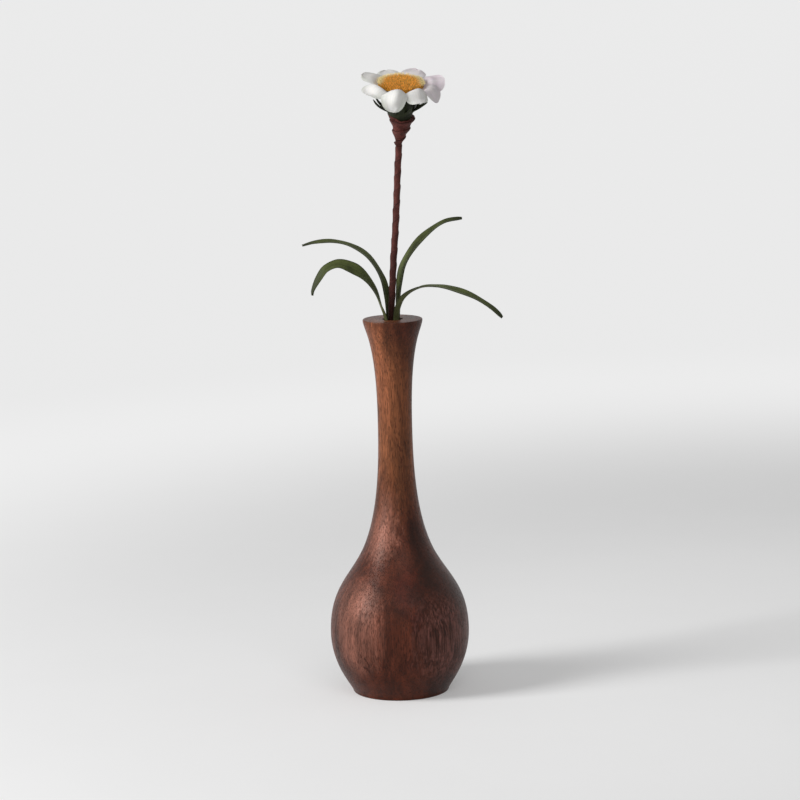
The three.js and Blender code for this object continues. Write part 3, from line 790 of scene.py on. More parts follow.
def walnut_finish(colours):
    """Oiled walnut turned along its grain: growth rings, streaks, fibres and pores, with painted
    sheen and light at the left and painted shade at the right.
    """
    finish = Finish("walnut_oiled")
    place = finish.coordinates()
    sway = finish.wander(place, (0.035, 0.035, 0.016), SWAY)
    warped = finish.vector("ADD", place, sway)

    # Growth rings about a pith that lies behind the vase
    pith = finish.vector("SUBTRACT", warped, PITH)
    distance = finish.length(finish.stretched(pith, (1, 1, 0.06)))
    ring = finish.math("FRACT", finish.math("DIVIDE", distance, RING_SPACE))
    late = finish.times(finish.rise(ring, 0.25, 0.86), finish.rise(ring, 0.9, 1.0, 1.0, 0.0))
    faint = finish.grain(place, (0.09, 0.09, 0.02))
    late = finish.times(late, finish.rise(faint, 0.35, 0.65, 0.2, 0.75))
    colour = finish.blend(late, colours.walnut, colours.walnut_dark)

    # Tinted regions, with edges that the fibres break up. The pale, rim and streak regions paint
    # sheen, light and shade besides the wood's own tone
    fray = finish.wander(place, (0.7, 0.7, 0.05), FRAY, 4, 0.65)
    frayed = finish.vector("ADD", warped, fray)
    for regions, share, tint in (
        (PALE_SHEEN_REGIONS, 0.8, colours.walnut_pale_sheen),
        (WARM_REGIONS, 0.8, colours.walnut_warm),
        (RIM_LIT_REGIONS, 0.8, colours.walnut_rim_lit),
        (SMOOTH_REGIONS, 0.8, colours.walnut_smooth),
        (RED_REGIONS, 0.8, colours.walnut_red),
        (STREAK_SHADE_REGIONS, 0.9, colours.walnut_streak_shade),
    ):
        found = finish.times(region(finish, frayed, regions), share)
        colour = finish.blend(found, colour, tint)

    # Long bands and clouds of the grain over all regions
    band = finish.grain(warped, (0.34, 0.34, 0.014), 3, 0.55)
    colour = finish.vary(colour, band, 0.32, 0.68, 0.72, 1.28)
    cloud = finish.grain(warped, (0.11, 0.11, 0.03), 4, 0.6)
    colour = finish.vary(colour, cloud, 0.3, 0.72, 0.66, 1.3)

    # Pale and dark stripes, and short dark dashes
    line = finish.rise(finish.grain(warped, (1.15, 1.15, 0.045), 3, 0.6), 0.38, 0.64)
    striped = finish.blend(line, colours.walnut_streak_shade, colours.walnut_stripe)
    found = finish.times(region(finish, frayed, STRIPED_REGIONS), 0.8)
    colour = finish.blend(found, colour, striped)
    dash = finish.rise(finish.grain(warped, (1.25, 1.25, 0.26)), 0.53, 0.64)
    found = finish.rise(region(finish, frayed, DASHED_REGIONS), 0.0, 1.0, 0.12, 0.85)
    colour = finish.blend(finish.times(dash, found), colour, colours.walnut_dark)

    # Fibres and pores, which are cut into the surface too
    fibre = finish.grain(place, (2.6, 2.6, 0.16), 5, 0.7)
    colour = finish.vary(colour, fibre, 0.28, 0.72, 0.64, 1.36)
    pore = finish.rise(finish.grain(place, (3.1, 3.1, 0.42), 1, 0.4), 0.55, 0.66)
    colour = finish.shade(colour, finish.less(pore, 0.45))
    height = finish.math("SUBTRACT", finish.times(fibre, 0.35), finish.times(pore, 0.6))
    normal = finish.bump(height, 0.00018, 0.8)
    roughness = finish.rise(fibre, 0.2, 0.8, 0.3, 0.44)
    roughness = finish.math("ADD", roughness, finish.times(pore, 0.2))
    return finish.finish(
        colour, roughness, normal, Specular_IOR_Level=0.2, Specular_Tint=(1, 0.82, 0.74)
    )


# Heights between which the tape grows darker towards the mouth, in millimetres
TAPE_DARKENS = (165, 212)


def tape_finish(colours):
    """Crepe paper tape, darker low on the stem and where one turn ends on the next."""
    finish = Finish("crepe_tape")
    place = finish.coordinates()
    cloud = finish.grain(place, (0.5, 0.5, 0.22), 3, 0.6)
    colour = finish.vary(colours.tape, cloud, 0.3, 0.7, 0.6, 1.45)
    height = finish.node("SeparateXYZ", {0: place}).outputs["Z"]
    colour = finish.vary(colour, height, *TAPE_DARKENS, 0.55, 1.0)
    edge = finish.rise(finish.mark("phase"), 0.82, 0.97)
    colour = finish.blend(finish.times(edge, 0.8), colour, colours.tape_edge)
    crepe = finish.grain(place, (4, 4, 2.2), 4, 0.7)
    colour = finish.vary(colour, crepe, 0.3, 0.7, 0.75, 1.25)
    normal = finish.bump(crepe, 0.0003, 0.7)
    return finish.finish(
        colour, 0.62, normal, Specular_IOR_Level=0.2, Specular_Tint=(1, 0.75, 0.72)
    )


def leaf_finish(colours):
    """Satin soft plastic leaf with veins along it, darker edges and tip, and a paler underside."""
    finish = Finish("leaf_green")
    along, across, under = (finish.mark(name) for name in ("along", "across", "under"))
    strip = finish.node("CombineXYZ", {0: finish.times(across, 7.0), 1: along, 2: under})
    vein = finish.noise(strip.outputs[0], 2.4, 4, 0.65)
    cloud = finish.grain(finish.coordinates(), (0.2, 0.2, 0.2), 3, 0.6)
    top = finish.vary(colours.leaf, cloud, 0.3, 0.7, 0.72, 1.35)
    low = finish.vary(colours.leaf_under, cloud, 0.3, 0.7, 0.8, 1.2)
    colour = finish.blend(under, top, low)
    colour = finish.vary(colour, vein, 0.3, 0.7, 0.8, 1.2)
    aside = finish.math("ABSOLUTE", across)
    rib = finish.rise(aside, 0.0, 0.12, 1.0, 0.0)
    colour = finish.shade(colour, finish.less(rib, 0.2))
    edge = finish.times(finish.rise(aside, 0.8, 1.0), 0.75)
    tip = finish.times(finish.rise(along, 0.86, 1.0), 0.8)
    root = finish.rise(along, 0.3, 0.12, 0.0, 0.5)
    dark = finish.math("MAXIMUM", finish.math("MAXIMUM", edge, tip), root)
    colour = finish.blend(dark, colour, colours.leaf_edge)
    normal = finish.bump(vein, 0.00015, 0.5)
    return finish.finish(colour, 0.5, normal, Specular_IOR_Level=0.16)


def calyx_finish(colours):
    """Matt dark green soft plastic."""
    finish = Finish("calyx_green")
    place = finish.coordinates()
    cloud = finish.grain(place, (0.35, 0.35, 0.35), 4, 0.6)
    colour = finish.vary(colours.calyx, cloud, 0.3, 0.7, 0.6, 1.5)
    normal = finish.bump(finish.noise(place, 2.2, 3, 0.6), 0.0002, 0.4)
    return finish.finish(colour, 0.6, normal, Specular_IOR_Level=0.2)


def petal_finish(colours):
    """White soft petal with fine veins, a lilac tint, and a painted greenish shade at its sides.
    """
    finish = Finish("petal_white")
    along, across, tint = (finish.mark(name) for name in ("along", "across", "tint"))
    strip = finish.node("CombineXYZ", {0: finish.times(across, 9.0), 1: along, 2: tint})
    vein = finish.noise(strip.outputs[0], 1.3, 3, 0.6)
    cloud = finish.noise(finish.coordinates(), 0.16, 3, 0.5)
    blush = finish.times(tint, finish.rise(cloud, 0.3, 0.62, 0.45, 1.0))
    # Painted greenish shade at the sides of the white petals, stronger towards the tip
    side = finish.rise(finish.math("ABSOLUTE", across), 0.35, 0.95)
    low = finish.times(side, finish.rise(along, 0.45, 0.9, 0.15, 0.6))
    low = finish.times(low, finish.math("SUBTRACT", 1.0, tint))
    colour = finish.blend(low, colours.petal, colours.petal_painted_shade)
    colour = finish.blend(blush, colour, colours.petal_blush)
    colour = finish.vary(colour, vein, 0.3, 0.7, 0.93, 1.03)
    normal = finish.bump(vein, 0.0003, 0.35)
    return finish.finish(
        colour, 0.6, normal, Specular_IOR_Level=0.3, Subsurface_Weight=0.25,
        Subsurface_Radius=(1.0, 0.9, 0.8), Subsurface_Scale=0.0012,
    )


def stamen_finish(colours):
    """Golden stamens, with pale tips at the rim, yellow-green ones at its left and right, and
    painted shade at their feet.
    """
    finish = Finish("stamen_gold")
    tip, rim, side, hue = (finish.mark(name) for name in ("tip", "rim", "side", "hue"))
    colour = finish.vary(colours.stamen, hue, 0.0, 1.0, 0.65, 1.2)
    green = finish.times(finish.rise(rim, 0.7, 0.93), finish.rise(side, 0.62, 0.94))
    colour = finish.blend(finish.times(green, 0.85), colour, colours.stamen_rim)
    pale = finish.times(finish.rise(tip, 0.3, 0.9), finish.rise(rim, 0.6, 0.9, 0.12, 1.0))
    colour = finish.blend(pale, colour, colours.stamen_tip)
    # Painted shade down among the stamens' feet, broken by random flecks
    fleck = finish.noise(finish.coordinates(), 1.6, 2, 0.6)
    deep = finish.times(
        finish.rise(tip, 0.0, 0.6, 0.6, 1.0), finish.rise(fleck, 0.2, 0.8, 0.85, 1.15)
    )
    return finish.finish(finish.shade(colour, deep), 0.7, Specular_IOR_Level=0.3)


# Colour of the stem's wire
WIRE_STEEL = (0.45, 0.45, 0.46)


def wire_finish():
    """Bare drawn steel wire with fine marks along it."""
    finish = Finish("drawn_wire")
    marks = finish.grain(finish.coordinates(), (9, 9, 0.6), 3, 0.6)
    colour = finish.vary(WIRE_STEEL, marks, 0.3, 0.7, 0.75, 1.1)
    roughness = finish.rise(marks, 0.3, 0.7, 0.28, 0.45)
    normal = finish.bump(marks, 0.00004, 0.4)
    return finish.finish(colour, roughness, normal, Metallic=1.0)


def finish_named(name, maker):
    """The finish of this name, made the first time that it is asked for."""
    return bpy.data.materials.get(name) or maker(bpy.context.scene.bud_vase_colours)


# Pieces


def vase_shape(sizes):
    """The turned body: foot, belly, neck, flared lip, top face and bore."""
    foot = (sizes.foot_radius, FOOT_EASE)
    belly = (sizes.belly_radius, sizes.belly_height)
    shoulder = (sizes.shoulder_radius, sizes.shoulder_height)
    neck = (sizes.neck_radius, sizes.neck_height)
    lip = (sizes.lip_radius, sizes.height - EDGE_EASE)
    # Each point's lean from upright, and the pulls of the curves under it and over it
    stations = (
        (foot, FOOT_FLARE, 0, FOOT_PULL),
        (belly, 0, BELLY_PULL_DOWN, BELLY_PULL_UP),
        (shoulder, -SHOULDER_LEAN, SHOULDER_PULL_DOWN, SHOULDER_PULL_UP),
        (neck, 0, NECK_PULL_DOWN, NECK_PULL_UP),
        (lip, LIP_FLARE, LIP_PULL, 0),
    )
    foot_edge = (sizes.foot_radius - FOOT_EASE, FOOT_EASE)
    lip_edge = (sizes.lip_radius - EDGE_EASE, sizes.height - EDGE_EASE)
    bore_edge = (sizes.bore_radius + EDGE_EASE, sizes.height - EDGE_EASE)
    floor = sizes.height - sizes.bore_depth
    outline = [(0, 0), (FOOT_FLAT_SHARE * sizes.foot_radius, 0)]
    outline += rounded(foot_edge, FOOT_EASE, -90, 0)
    for low, high, rows in zip(stations, stations[1:], VASE_ROWS):
        start, start_lean, _, pull_up = low
        end, end_lean, pull_down, _ = high
        handles = handle(start, start_lean, pull_up), handle(end, end_lean, -pull_down)
        outline += curve_points(start, *handles, end, rows)
    outline += rounded(lip_edge, EDGE_EASE, 0, 90)[1:]
    outline += rounded(bore_edge, EDGE_EASE, 90, 180)
    outline += [(sizes.bore_radius, floor), (0, floor)]
    return turned(outline, VASE_SIDES)


def binding_place(sizes):
    """How far right of the axis the leaf binding stands, and its outer radius."""
    radius = sizes.tape_radius + 2 * GAP + 2 * SHANK_RADIUS + BINDING_WALL
    bore = bpy.context.scene.bud_vase_vase.bore_radius
    return -(bore - GAP - radius), radius


def stem_route(sizes):
    """The stem's middle line, from the bore's floor to the wire's end in the calyx."""
    vase = bpy.context.scene.bud_vase_vase
    low_place = -(vase.bore_radius - GAP - sizes.tape_radius)
    high_place = binding_place(sizes)[0]
    binding_top = vase.height - BINDING_DROP
    binding_foot = binding_top - BINDING_LENGTH
    bore_floor = vase.height - vase.bore_depth
    wall_top = binding_foot - STEM_BEND
    points = [Vector((low_place, 0, mix(bore_floor + GAP, wall_top, i / 4))) for i in range(4)]
    for i in range(6):
        share = i / 5
        place = mix(low_place, high_place, ease(share, 0, 1))
        points.append(Vector((place, 0, mix(wall_top, binding_foot, share))))
    points.append(Vector((high_place, 0, binding_top)))
    top = Vector((0, 0, vase.height))
    points += [Vector(point) + top for point in STEM_ROUTE]
    axis = HEAD_TURN.to_3x3() @ Vector((0, 0, 1))
    points += [BUD_FOOT + top + axis * (WIRE_OVER_BUD_FOOT * i / 3) for i in range(4)]
    return Route(points)


def wound(frames, radius_at, inside, winding, step, sides, draw):
    """A tube of tape wound in a spiral: each turn ends in an edge that stands proud.

    radius_at gives the outer radius at a length. Returns the shape and each point's phase.
    """
    rows, phases = [], []
    slips = [draw.uniform(-0.35, 0.35) for _ in range(TAPE_SLIPS)]
    for length, place, along, side in frames:
        other = along.cross(side)
        row = []
        for i in range(sides):
            angle = i / sides * math.tau
            turn = length / winding - angle / math.tau
            whole = math.floor(turn)
            # Each turn slips and dents in its own way, and drops at its edge to the next turn
            slip = slips[whole % TAPE_SLIPS] * math.sin(angle + 1.7 * whole) * 0.25
            phase = (turn + slip) % 1.0
            proud = step * ease(phase, 0.35, 0.9) * (1 - ease(phase, 0.94, 1.0))
            dent = 0.35 * step * math.sin(3 * angle + 2.1 * whole)
            radius = radius_at(length) - step + proud + dent * phase
            row.append(place + (side * math.cos(angle) + other * math.sin(angle)) * radius)
            phases.append(phase)
        rows.append(row)
    # The inner wall goes back along the same line, with fewer rings
    for _, place, along, side in frames[:0:-10] + frames[:1]:
        rows.append(circle(place, side, along.cross(side), inside, sides))
        phases += [0.0] * sides
    points = [point for row in rows for point in row]
    faces = []
    for r in range(len(rows)):
        low, high = r * sides, (r + 1) % len(rows) * sides
        for i in range(sides):
            j = (i + 1) % sides
            faces.append((low + i, low + j, high + j, high + i))
    return (points, faces), phases


def stem_shape(sizes, draw):
    """The wound stem, from just over the wire's foot to the foot of the bud."""
    route = stem_route(sizes)
    end = route.total - WIRE_OVER_BUD_FOOT
    frames = route.frames(TAPE_SHOWS_WIRE, end, STEM_RINGS)
    inside = sizes.wire_radius + GAP
    step = sizes.tape_step
    radius = sizes.tape_radius + TAPE_PAST_RADIUS * step
    return wound(frames, lambda _: radius, inside, sizes.winding, step, STEM_SIDES, draw)


def binding_shape(sizes, draw):
    """The wound binding round the stem and the leaf shanks, inside the bore."""
    place, radius = binding_place(sizes)
    foot = bpy.context.scene.bud_vase_vase.height - BINDING_DROP - BINDING_LENGTH
    line = Route([Vector((place, 0, foot + BINDING_LENGTH * i / 3)) for i in range(4)])
    frames = line.frames(0, line.total, BINDING_RINGS)
    return wound(
        frames, lambda _: radius, radius - BINDING_WALL, BINDING_WINDING, BINDING_TAPE_STEP,
        BINDING_SIDES, draw,
    )


def leaf_share(share):
    """A leaf's width at a share of its length, as a share of its widest."""
    if share < LEAF_WIDEST:
        return 1 - (1 - LEAF_BASE_SHARE) * (1 - share / LEAF_WIDEST) ** 2
    past = (share - LEAF_WIDEST) / (1 - LEAF_WIDEST)
    body = math.sqrt(1 - (1 - LEAF_TIP_SHARE**2) * past**2)
    tip = max(0, (share - LEAF_POINT) / (1 - LEAF_POINT))
    return body * math.sqrt(max(0.012, 1 - tip * tip))


def leaf_shape(sizes, leaf):
    """One leaf on its round shank, hollow across, with a groove along its middle."""
    vase = bpy.context.scene.bud_vase_vase
    binding_top = vase.height - BINDING_DROP
    foot = binding_top - BINDING_LENGTH - SHANK_PAST_BINDING
    shank_top = binding_top + SHANK_OVER_BINDING
    out = sizes.tape_radius + GAP + SHANK_RADIUS
    angle = math.radians(leaf["shank"])
    right = binding_place(sizes)[0] + out * math.cos(angle)
    back = out * math.sin(angle)
    points = [Vector((right, back, mix(foot, shank_top, s))) for s in (0, 0.5, 0.85, 1)]
    points += [Vector(point) + Vector((0, 0, vase.height)) for point in leaf["route"]]
    route = Route(points)
    mouth = next(
        i / 400 for i in range(400) if route.place(i / 400 * route.total).z > vase.height
    )
    shares = [mouth * i / SHANK_RINGS for i in range(SHANK_RINGS)]
    # Rings stand closer towards the tip
    shares += [
        mix(mouth, 1, 1 - (1 - i / BLADE_RINGS) ** 1.25) for i in range(BLADE_RINGS + 1)
    ]
    side = math.copysign(1, leaf["route"][-1][0])
    behind = Vector((0, 1, 0))
    width = getattr(sizes, leaf["width"])
    rings, marks = [], {"along": [], "across": [], "under": []}
    for share in shares:
        centre, along = (f(share * route.total) for f in (route.place, route.direction))
        blade = max(0, (share - mouth) / (1 - mouth))
        opened = ease(centre.z, shank_top, vase.height + GAP)
        first, middle, last = leaf["turn"]
        turn = mix(first, middle, 2 * blade) if blade < 0.5 else mix(middle, last, 2 * blade - 1)
        rise = along.cross(behind).normalized() * side
        across = behind * math.cos(math.radians(turn)) + rise * math.sin(math.radians(turn))
        across = (across - along * across.dot(along)).normalized()
        up = along.cross(across).normalized()
        half_width = mix(SHANK_RADIUS, width / 2 * leaf_share(blade), opened)
        half_thick = mix(SHANK_RADIUS, sizes.leaf_thickness / 2, opened)
        wave = LEAF_WAVE * opened * math.sin(19 * blade + 2 * side) * ease(blade, 0.05, 0.4)
        ring = []
        for i in range(2 * LEAF_COLUMNS):
            round_angle = i / (2 * LEAF_COLUMNS) * math.tau
            sideways = math.cos(round_angle)
            body = math.sin(round_angle)
            face = math.copysign(1, body) if i % LEAF_COLUMNS else 0
            plump = face * math.sqrt(max(0, 1 - sideways**4))
            thick = mix(body, plump, opened) * half_thick
            groove = math.exp(-((sideways / LEAF_GROOVE_WIDTH) ** 2))
            groove *= opened * half_thick * LEAF_GROOVE_DEPTH
            hollow = LEAF_HOLLOW * opened * (sideways**2 - 0.5)
            point = centre + across * (sideways * half_width) + up * (thick - side * groove)
            ring.append(point + rise * (hollow + wave * sideways))
            marks["along"].append(share)
            marks["across"].append(sideways)
            marks["under"].append(1.0 if side * body < 0 else 0.0)
        rings.append(ring)
    shape = loft(rings)
    marks["along"] += [0.0, 1.0]
    marks["across"] += [0.0, 1.0]
    marks["under"] += [0.0, 0.0]
    return shape, marks


# The flower head's own frame: +Z along its axis, origin at the foot of the bud
CALYX_FOOT = BUD_LENGTH - BUD_RECESS + GAP
CALYX_RIM = CALYX_FOOT + CALYX_HEIGHT
SEAT_FLOOR = CALYX_RIM - CALYX_SEAT_DEPTH
PETAL_START = CALYX_SEAT_RADIUS + PETAL_INSET


def head_place():
    """Moves the flower head's frame to its place on the stem."""
    height = bpy.context.scene.bud_vase_vase.height
    return Matrix.Translation(BUD_FOOT + Vector((0, 0, height))) @ HEAD_TURN


def set_on_head(shape):
    """A shape in the flower head's frame, moved to its place."""
    points, faces = shape
    place = head_place()
    return [place @ point for point in points], faces


def make_head_piece(name, shape, finish, slot, node, **extra):
    """A piece of the flower head, from a shape in the head's own frame."""
    return make_piece(name, set_on_head(shape), finish, "flower_spray", slot, [node], **extra)


def bud_shape(sizes, draw):
    """The wound cone under the calyx, a little crooked, with a ragged rim."""
    spans = len(BUD_RADII) - 1
    route = Route([
        Vector((BUD_CROOK * ease(i, 1, spans - 1), 0, BUD_LENGTH * i / spans))
        for i in range(spans + 1)
    ])

    def radius_at(length):
        place = min(spans - 0.001, max(0, length / BUD_LENGTH * spans))
        low = int(place)
        share = ease(place - low, 0, 1) * 0.4 + (place - low) * 0.6
        return mix(BUD_RADII[low], BUD_RADII[low + 1], share)

    frames = route.frames(0, route.total, BUD_RINGS)
    shape, phases = wound(
        frames, radius_at, sizes.wire_radius + GAP, BUD_WINDING,
        BUD_TAPE_STEPS * sizes.tape_step, BUD_SIDES, draw,
    )
    points, faces = shape
    rim_start = BUD_SIDES * (BUD_RINGS - BUD_RIM_RINGS)
    for i in range(rim_start, BUD_SIDES * (BUD_RINGS + 1)):
        angle = math.atan2(points[i].y, points[i].x - BUD_CROOK)
        left = max(0, math.cos(angle - BUD_LEFT)) ** 1.5
        lift = BUD_LEFT_LIFT * left + sum(
            high * math.sin(waves * angle + start) for high, waves, start in BUD_RIM_WAVES
        )
        out = Vector((math.cos(angle), math.sin(angle), 0)) * (BUD_LEFT_FLARE * left)
        share = (i - rim_start) / (BUD_SIDES * BUD_RIM_RINGS)
        points[i] = points[i] + (out + Vector((0, 0, lift))) * share
    return (points, faces), phases


def calyx_radius(share):
    """The calyx's outer radius at a share of its height over the bud."""
    swell = CALYX_SWELL * math.sin(math.pi * share)
    return mix(CALYX_FOOT_RADIUS, CALYX_RIM_RADIUS, share) + swell


def calyx_shape():
    """The green cup, faintly lobed, with the seat for the disc."""
    outline = [(0, CALYX_FOOT), (CALYX_FOOT_RADIUS - GAP, CALYX_FOOT)]
    outline += rounded((CALYX_FOOT_RADIUS - GAP, CALYX_FOOT + GAP), GAP, -90, 0)[1:]
    low = CALYX_FOOT + BUD_RECESS
    for i in range(CALYX_ROWS + 1):
        share = i / CALYX_ROWS
        outline.append((calyx_radius(share), mix(low, CALYX_RIM, share)))
    outline += [(CALYX_SEAT_RADIUS, CALYX_RIM), (CALYX_SEAT_RADIUS, SEAT_FLOOR), (0, SEAT_FLOOR)]
    points, faces = turned(outline, CALYX_SIDES)
    for point in points:
        outward = Vector((point.x, point.y, 0))
        if outward.length > CALYX_SEAT_RADIUS - GAP or point.z < SEAT_FLOOR - GAP:
            lobe = CALYX_LOBE_DEPTH * math.cos(CALYX_LOBES * math.atan2(point.y, point.x))
            lobe *= ease(point.z, CALYX_FOOT, CALYX_FOOT + CALYX_HEIGHT / 2)
            point += outward * (lobe / CALYX_RIM_RADIUS)
    return points, faces


def sepal_shape(sizes, degrees, reach, rise, turn, curved):
    """A narrow pointed sepal that leaves the calyx and rises, more or less curved."""
    low = BUD_LENGTH + GAP + SEPAL_OVER_BUD
    start = calyx_radius((low - CALYX_FOOT - BUD_RECESS) / (CALYX_HEIGHT - BUD_RECESS))
    start -= SEPAL_IN_CALYX
    out = Vector((math.cos(math.radians(degrees)), math.sin(math.radians(degrees)), 0))
    across = Vector((-out.y, out.x, 0))
    corners = ((0, 0), (0.4, mix(0.36, 0.22, curved)), (0.76, mix(0.72, 0.56, curved)), (1, 1))
    route = Route([
        out * (start + far * (SEPAL_IN_CALYX + reach)) + Vector((0, 0, low + high * rise))
        for far, high in corners
    ])
    rings = []
    for k in range(SEPAL_RINGS + 1):
        share = k / SEPAL_RINGS
        centre, along = (f(share * route.total) for f in (route.place, route.direction))
        up = along.cross(across).normalized()
        twist = math.radians(turn) * ease(share, 0, 0.5)
        wide = across * math.cos(twist) + up * math.sin(twist)
        up = along.cross(wide).normalized()
        tip = math.sqrt(max(0.01, 1 - max(0, (share - 0.8) / 0.2) ** 2))
        width = sizes.sepal_width * (0.3 + 0.7 * math.sin(math.pi * (0.2 + 0.75 * share))) * tip
        thick = sizes.sepal_thickness * mix(1, 0.45, share) * tip
        ring = []
        for i in range(SEPAL_SIDES):
            angle = i / SEPAL_SIDES * math.tau
            cup = SEPAL_CUP * math.cos(angle) ** 2 * math.sin(math.pi * share)
            ring.append(
                centre + wide * (math.cos(angle) * width / 2)
                + up * (math.sin(angle) * thick / 2 + cup)
            )
        rings.append(ring)
    return loft(rings)


def petal_fall(degrees):
    """How steeply the petals' face falls at an angle round the flower, in radians."""
    ends = [*PETALS, {**PETALS[0], "angle": PETALS[0]["angle"] + 360}]
    around = (degrees - ends[0]["angle"]) % 360 + ends[0]["angle"]
    low, high = next(pair for pair in zip(ends, ends[1:]) if pair[1]["angle"] > around)
    share = (around - low["angle"]) / (high["angle"] - low["angle"])
    return math.radians(mix(low["fall"], high["fall"], ease(share, 0.1, 0.9)))


def on_petal_face(sizes, distance, angle, over):
    """A point on the face that the petals share.

    distance runs along a petal, angle round the flower, and over stands off the middle of the
    layers. Past the disc the face turns up, bends over, then runs straight.
    """
    fall = petal_fall(math.degrees(angle))
    spans = (
        (sizes.disc_radius + GAP - PETAL_START, 0, 0),
        (PETAL_LIFT_LENGTH, 0, -PETAL_LIFT),
        (PETAL_BEND, -PETAL_LIFT, fall),
        (1, fall, fall),
    )
    left, slope, outward, drop = distance, 0, 0, 0
    for length, first, last in spans:
        run = min(left, length)
        if run <= 0:
            break
        slope = mix(first, last, run / length)
        half = (slope - first) / 2 or 1e-9
        chord = run * math.sin(half) / half
        outward += chord * math.cos(first + half)
        drop += chord * math.sin(first + half)
        left -= run
    pitch = sizes.petal_thickness + GAP
    middle = CALYX_RIM + GAP + (PETAL_LAYERS * pitch - GAP) / 2
    radius = PETAL_START + outward + over * math.sin(slope)
    height = middle - drop + over * math.cos(slope)
    return Vector((radius * math.cos(angle), radius * math.sin(angle), height))


def petal_shape(sizes, petal, layer, draw):
    """A rounded petal with soft pleats, an arch over the disc's edge and a waved rim."""
    length, width = (getattr(sizes, petal[key]) for key in ("length", "width"))
    slot_length = sizes.disc_radius + GAP - PETAL_START
    level = (layer - (PETAL_LAYERS - 1) / 2) * (sizes.petal_thickness + GAP)
    power = math.log(0.5) / math.log(PETAL_WIDEST)
    waves = [(draw.uniform(2, 3.4), draw.uniform(0, math.tau)) for _ in range(3)]
    notch = draw.uniform(-0.35, 0.35)
    rings, marks = [], {"along": [], "across": [], "tint": []}
    for k in range(1, PETAL_ROWS + 1):
        share = min(0.9985, (1 - math.cos(math.pi * k / PETAL_ROWS)) / 2)
        spread = share**power
        half_width = width / 2 * (2 * math.sqrt(spread * (1 - spread))) ** PETAL_END_POWER
        root = petal["root"] * (PETAL_START + share * length) * (1 - ease(share, 0.35, 0.75))
        half_width *= mix(petal["neck"], 1, ease(share, 0.25, 0.6))
        half_width = (half_width**6 + root**6) ** (1 / 6)
        place = math.radians(petal["angle"] + petal["skew"] * ease(share, 0.1, 0.7))
        ring = []
        for i in range(2 * PETAL_COLUMNS):
            angle = i / (2 * PETAL_COLUMNS) * math.tau
            sideways = math.cos(angle)
            dip = math.exp(-(((sideways - notch) / 0.3) ** 2)) * ease(share, 0.7, 1)
            distance = share * length * (1 - PETAL_NOTCH * dip)
            opened = ease(distance, slot_length, length)
            ruffle = sum(
                math.sin(f * 1.6 * sideways + p + 1.3 * n * share)
                for n, (f, p) in enumerate(waves)
            ) / 3
            pleat = PETAL_PLEAT * math.cos(11 * sideways + waves[0][1])
            thin = sizes.petal_thickness / 2 * (1 - 0.75 * max(sideways**2, ease(share, 0.6, 1)))
            crown = PETAL_CROWN * (2 * half_width / width) ** 2 * sideways**2
            over = level + math.sin(angle) * thin - opened * crown
            over += opened * (sizes.petal_ruffle * ruffle * (0.4 + abs(sideways)) + pleat)
            swell = ((sideways - 0.2) / 0.42) ** 2 + ((share - 0.6) / 0.17) ** 2
            over += petal["lobe"] * math.exp(-swell)
            turn = sideways * half_width / (PETAL_START + distance)
            point = on_petal_face(sizes, distance, place + turn, over)
            past = distance - slot_length
            arch = ease(past, -0.0003, 0.0019) * (1 - ease(past, 0.0022, 0.006))
            point.z += petal["arch"] * arch * (1 - abs(sideways) ** 2.5)
            ring.append(point)
            marks["along"].append(share)
            marks["across"].append(sideways)
        rings.append(ring)
    shape = loft(rings)
    marks["along"] += [0.0, 1.0]
    marks["across"] += [0.0, 0.0]
    marks["tint"] = [petal["tint"]] * len(shape[0])
    return shape, marks


